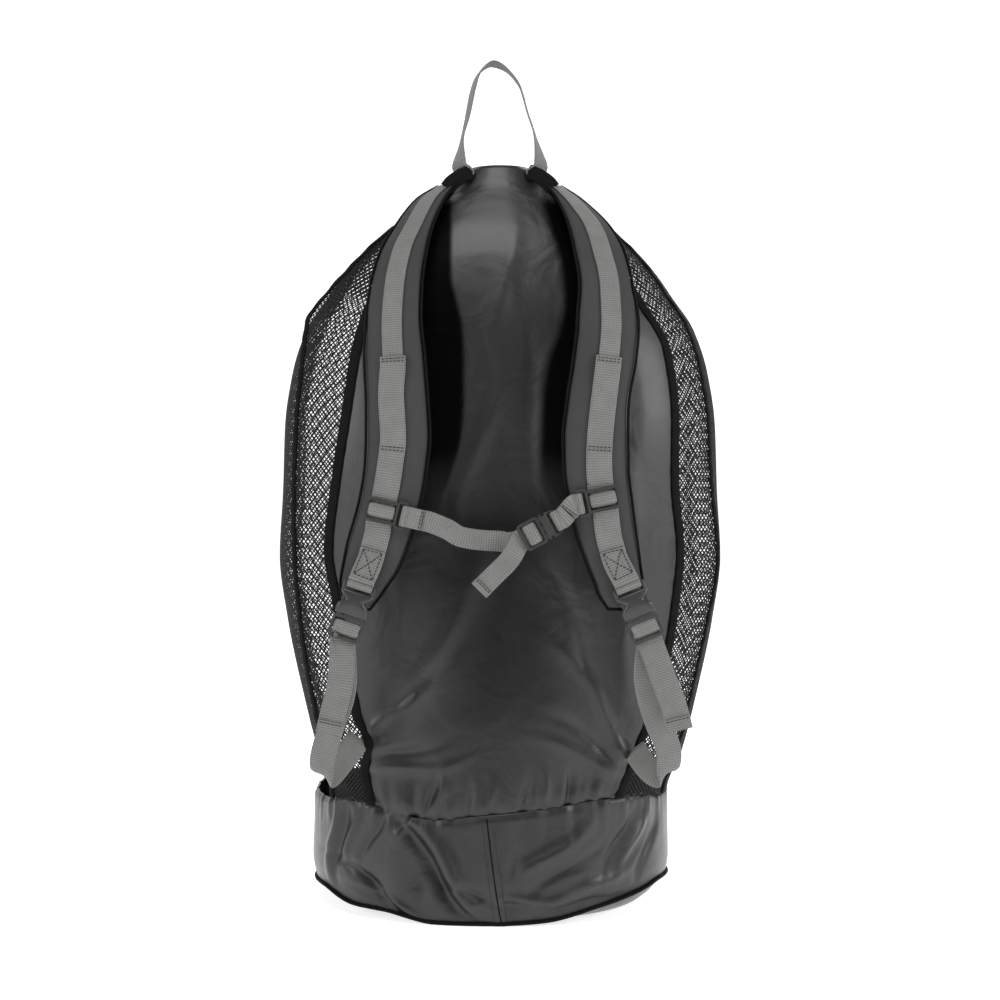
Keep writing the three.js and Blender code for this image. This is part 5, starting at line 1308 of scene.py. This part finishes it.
# ------------------------------------------------------------
# Lower straps: 25 mm webbing sewn in at the panel's lower corners, up behind the buckle's plug,
# over its middle bar and down again as a free tail with a folded, stitched end.
LEFT_RUN = {
    "sewn": (-0.5720, 0.2380, 48),
    "rear": [(-0.6500, 0.2140, 0.860, 56), (-0.7000, 0.1960, 0.930, 62),
             (-0.7260, 0.1990, 0.990, 34), (-0.7229, 0.2231, 1.052, 14),
             (-0.6864, 0.2611, 1.090, 10), (-0.6350, 0.3097, 1.110, 9)],
    "tail": [(-0.6395, 0.3237, 1.190, 10), (-0.6680, 0.2862, 1.186, 12),
             (-0.6900, 0.2561, 1.172, 11)],
}
RIGHT_RUN = {
    "sewn": (0.5400, 0.2240, -50),
    "rear": [(0.6050, 0.2060, 0.875, -58), (0.6480, 0.1960, 0.930, -64),
             (0.6860, 0.2020, 0.990, -38), (0.6861, 0.2344, 1.052, -18),
             (0.6336, 0.2737, 1.090, -14), (0.5946, 0.3222, 1.110, -12)],
    "tail": [(0.6560, 0.3262, 1.190, -20), (0.6960, 0.2937, 1.186, -22),
             (0.7240, 0.2610, 1.172, -21)],
}
REAR_BACK = -THREAD_BACK - 2 * WEB_THICKNESS - 0.0012
SEWN_LIFT, TAIL_HEM = 0.0033, 0.013


def thread_return(part):
    """Stations up behind a plug, over its middle bar and down behind its lower bar."""
    first = [(-SLOT_EDGE - BAR_HEIGHT - 0.002, REAR_BACK - 0.0005), (-0.004, REAR_BACK),
             (BAR_HALF + 0.0015, REAR_BACK + 0.001), (BAR_HALF + 0.0033, -THREAD_BACK),
             (BAR_HALF + 0.0033, 0), (BAR_HALF + 0.0012, THREAD_BACK - 0.0003),
             (BAR_HALF - 0.0004, THREAD_BACK)]
    return ([part.station(up, out) for up, out in first]
            + [part.station(-up, out) for up, out in THREADING[::-1]])


def sewn_station(x, share, turn):
    """Sewn end: the width lies flat on the tape over the panel's edge."""
    height = share * BODY_HEIGHT
    at_turn = turn_at_x(np.array(x * HALF_WIDTH), height)
    out = wall_out(at_turn, height)
    across = cross_line(turn)
    at = off_wall(at_turn, height, SEWN_LIFT + WEB_THICKNESS / 2)
    return at, unit(across - out * np.dot(across, out))


for side, run in (("left", LEFT_RUN), ("right", RIGHT_RUN)):
    path = [sewn_station(*run["sewn"])] + [hand_station(*row) for row in run["rear"]]
    path += thread_return(buckle_frame[side])
    path += [hand_station(*row) for row in run["tail"]]
    tail = Strap(path, WIDE_WEB, WEB_THICKNESS)
    tail.piece(f"tail_strap_{side}", webbing, f"lower_strap_{side}")
    tail_hem = strap_hem(f"tail_hem_{side}", tail, TAIL_HEM)
    strap_stitches(f"tail_stitches_{side}", tail_hem, cross_row(0.0022, TACK_HALF))

# ------------------------------------------------------------
# Sternum strap: 20 mm webbing from the left slider's eye to a small buckle, with its free tail
# hanging down, and a short doubled piece from the buckle's socket to the right slider's eye.
STERNUM_TACK_HALF, CHEST_HEM = 0.0092, 0.0075
EYE_START, EYE_SLOT, EYE_BAR, STERNUM_FLAP = 0.0002, 0.0052, 0.0028, 0.017
EYE_RADIUS = math.hypot(EYE_BAR, PLASTIC_THICKNESS) / 2 + WEB_THICKNESS / 2 + LAYER_GAP
FOLD_LIMB = WEB_THICKNESS / 2 + LAYER_GAP
FRAME_HALF = WIDE_WEB / 2 + 0.001 + 0.0026


def eye_frame(side):
    base = slider_frame[side]
    offset = -SIGN[side] * (FRAME_HALF + EYE_START + EYE_SLOT + EYE_BAR / 2)
    return PartFrame(base.at + base.across * offset, base.up * SIGN[side])


chest_frame = PartFrame(hand_station(0.130, 0.5045, 1.175, 0)[0], cross_line(62))
left_eye, right_eye = eye_frame("left"), eye_frame("right")
STERNUM_RUN = [
    (-0.2800, 0.5190, 1.165, 104), (-0.2103, 0.5098, 1.135, 110), (-0.1622, 0.5010, 1.110, 104),
    (-0.0812, 0.4965, 1.095, 88), (0.0000, 0.4950, 1.100, 86), (0.0340, 0.4935, 1.115, 78),
]
STERNUM_TAIL = [(0.0400, 0.4734, 1.185, 50), (-0.0201, 0.4547, 1.215, 46),
                (-0.0847, 0.4347, 1.205, 47)]
path = [left_eye.station(STERNUM_FLAP, FOLD_LIMB),
        left_eye.station(STERNUM_FLAP / 2, FOLD_LIMB + 0.0006)]
path += round_bar(left_eye, 0, EYE_RADIUS, -1)
path += [left_eye.station(STERNUM_FLAP / 2, -FOLD_LIMB - 0.0006),
         left_eye.station(STERNUM_FLAP, -FOLD_LIMB)]
path += [hand_station(*row) for row in STERNUM_RUN]
path += thread_return(chest_frame)
path += [hand_station(*row) for row in STERNUM_TAIL]
chest = Strap(path, NARROW_WEB, WEB_THICKNESS)
chest.piece("chest_strap", webbing, "sternum_strap_left")
chest_hem = strap_hem("chest_hem", chest, CHEST_HEM)
strap_stitches("chest_stitches", chest, cross_row(0.0012, STERNUM_TACK_HALF))
strap_stitches("chest_hem_stitches", chest_hem, cross_row(0.0014, STERNUM_TACK_HALF))

STERNUM_BUCKLE_LENGTH = 0.027
flap_from = chest_frame.station(STERNUM_BUCKLE_LENGTH + LOOP_RADIUS, FOLD_LIMB + 0.0004)
flap_to = right_eye.station(EYE_RADIUS, FOLD_LIMB + 0.0004)


def flap_station(share):
    return (flap_from[0] + (flap_to[0] - flap_from[0]) * share, unit(flap_from[1] - flap_to[1]))


def eye_side(out):
    return right_eye.station(2 * EYE_RADIUS, out, -1)


path = [flap_station(0.42),
        chest_frame.station(STERNUM_BUCKLE_LENGTH + 1.7 * LOOP_RADIUS, FOLD_LIMB + 0.001)]
path += round_bar(chest_frame, STERNUM_BUCKLE_LENGTH, LOOP_RADIUS, -1)
path += [chest_frame.station(STERNUM_BUCKLE_LENGTH + 1.7 * LOOP_RADIUS, -FOLD_LIMB - 0.001),
         eye_side(-FOLD_LIMB - 0.001)]
path += round_bar(right_eye, 0, EYE_RADIUS, 1, -1)
path += [eye_side(FOLD_LIMB + 0.001), flap_station(0.5)]
short = Strap(path, NARROW_WEB, WEB_THICKNESS)
short.piece("short_strap", webbing, "sternum_strap_right")
strap_stitches("short_stitches", short, cross_row(short.run[-1] - 0.0015, STERNUM_TACK_HALF))
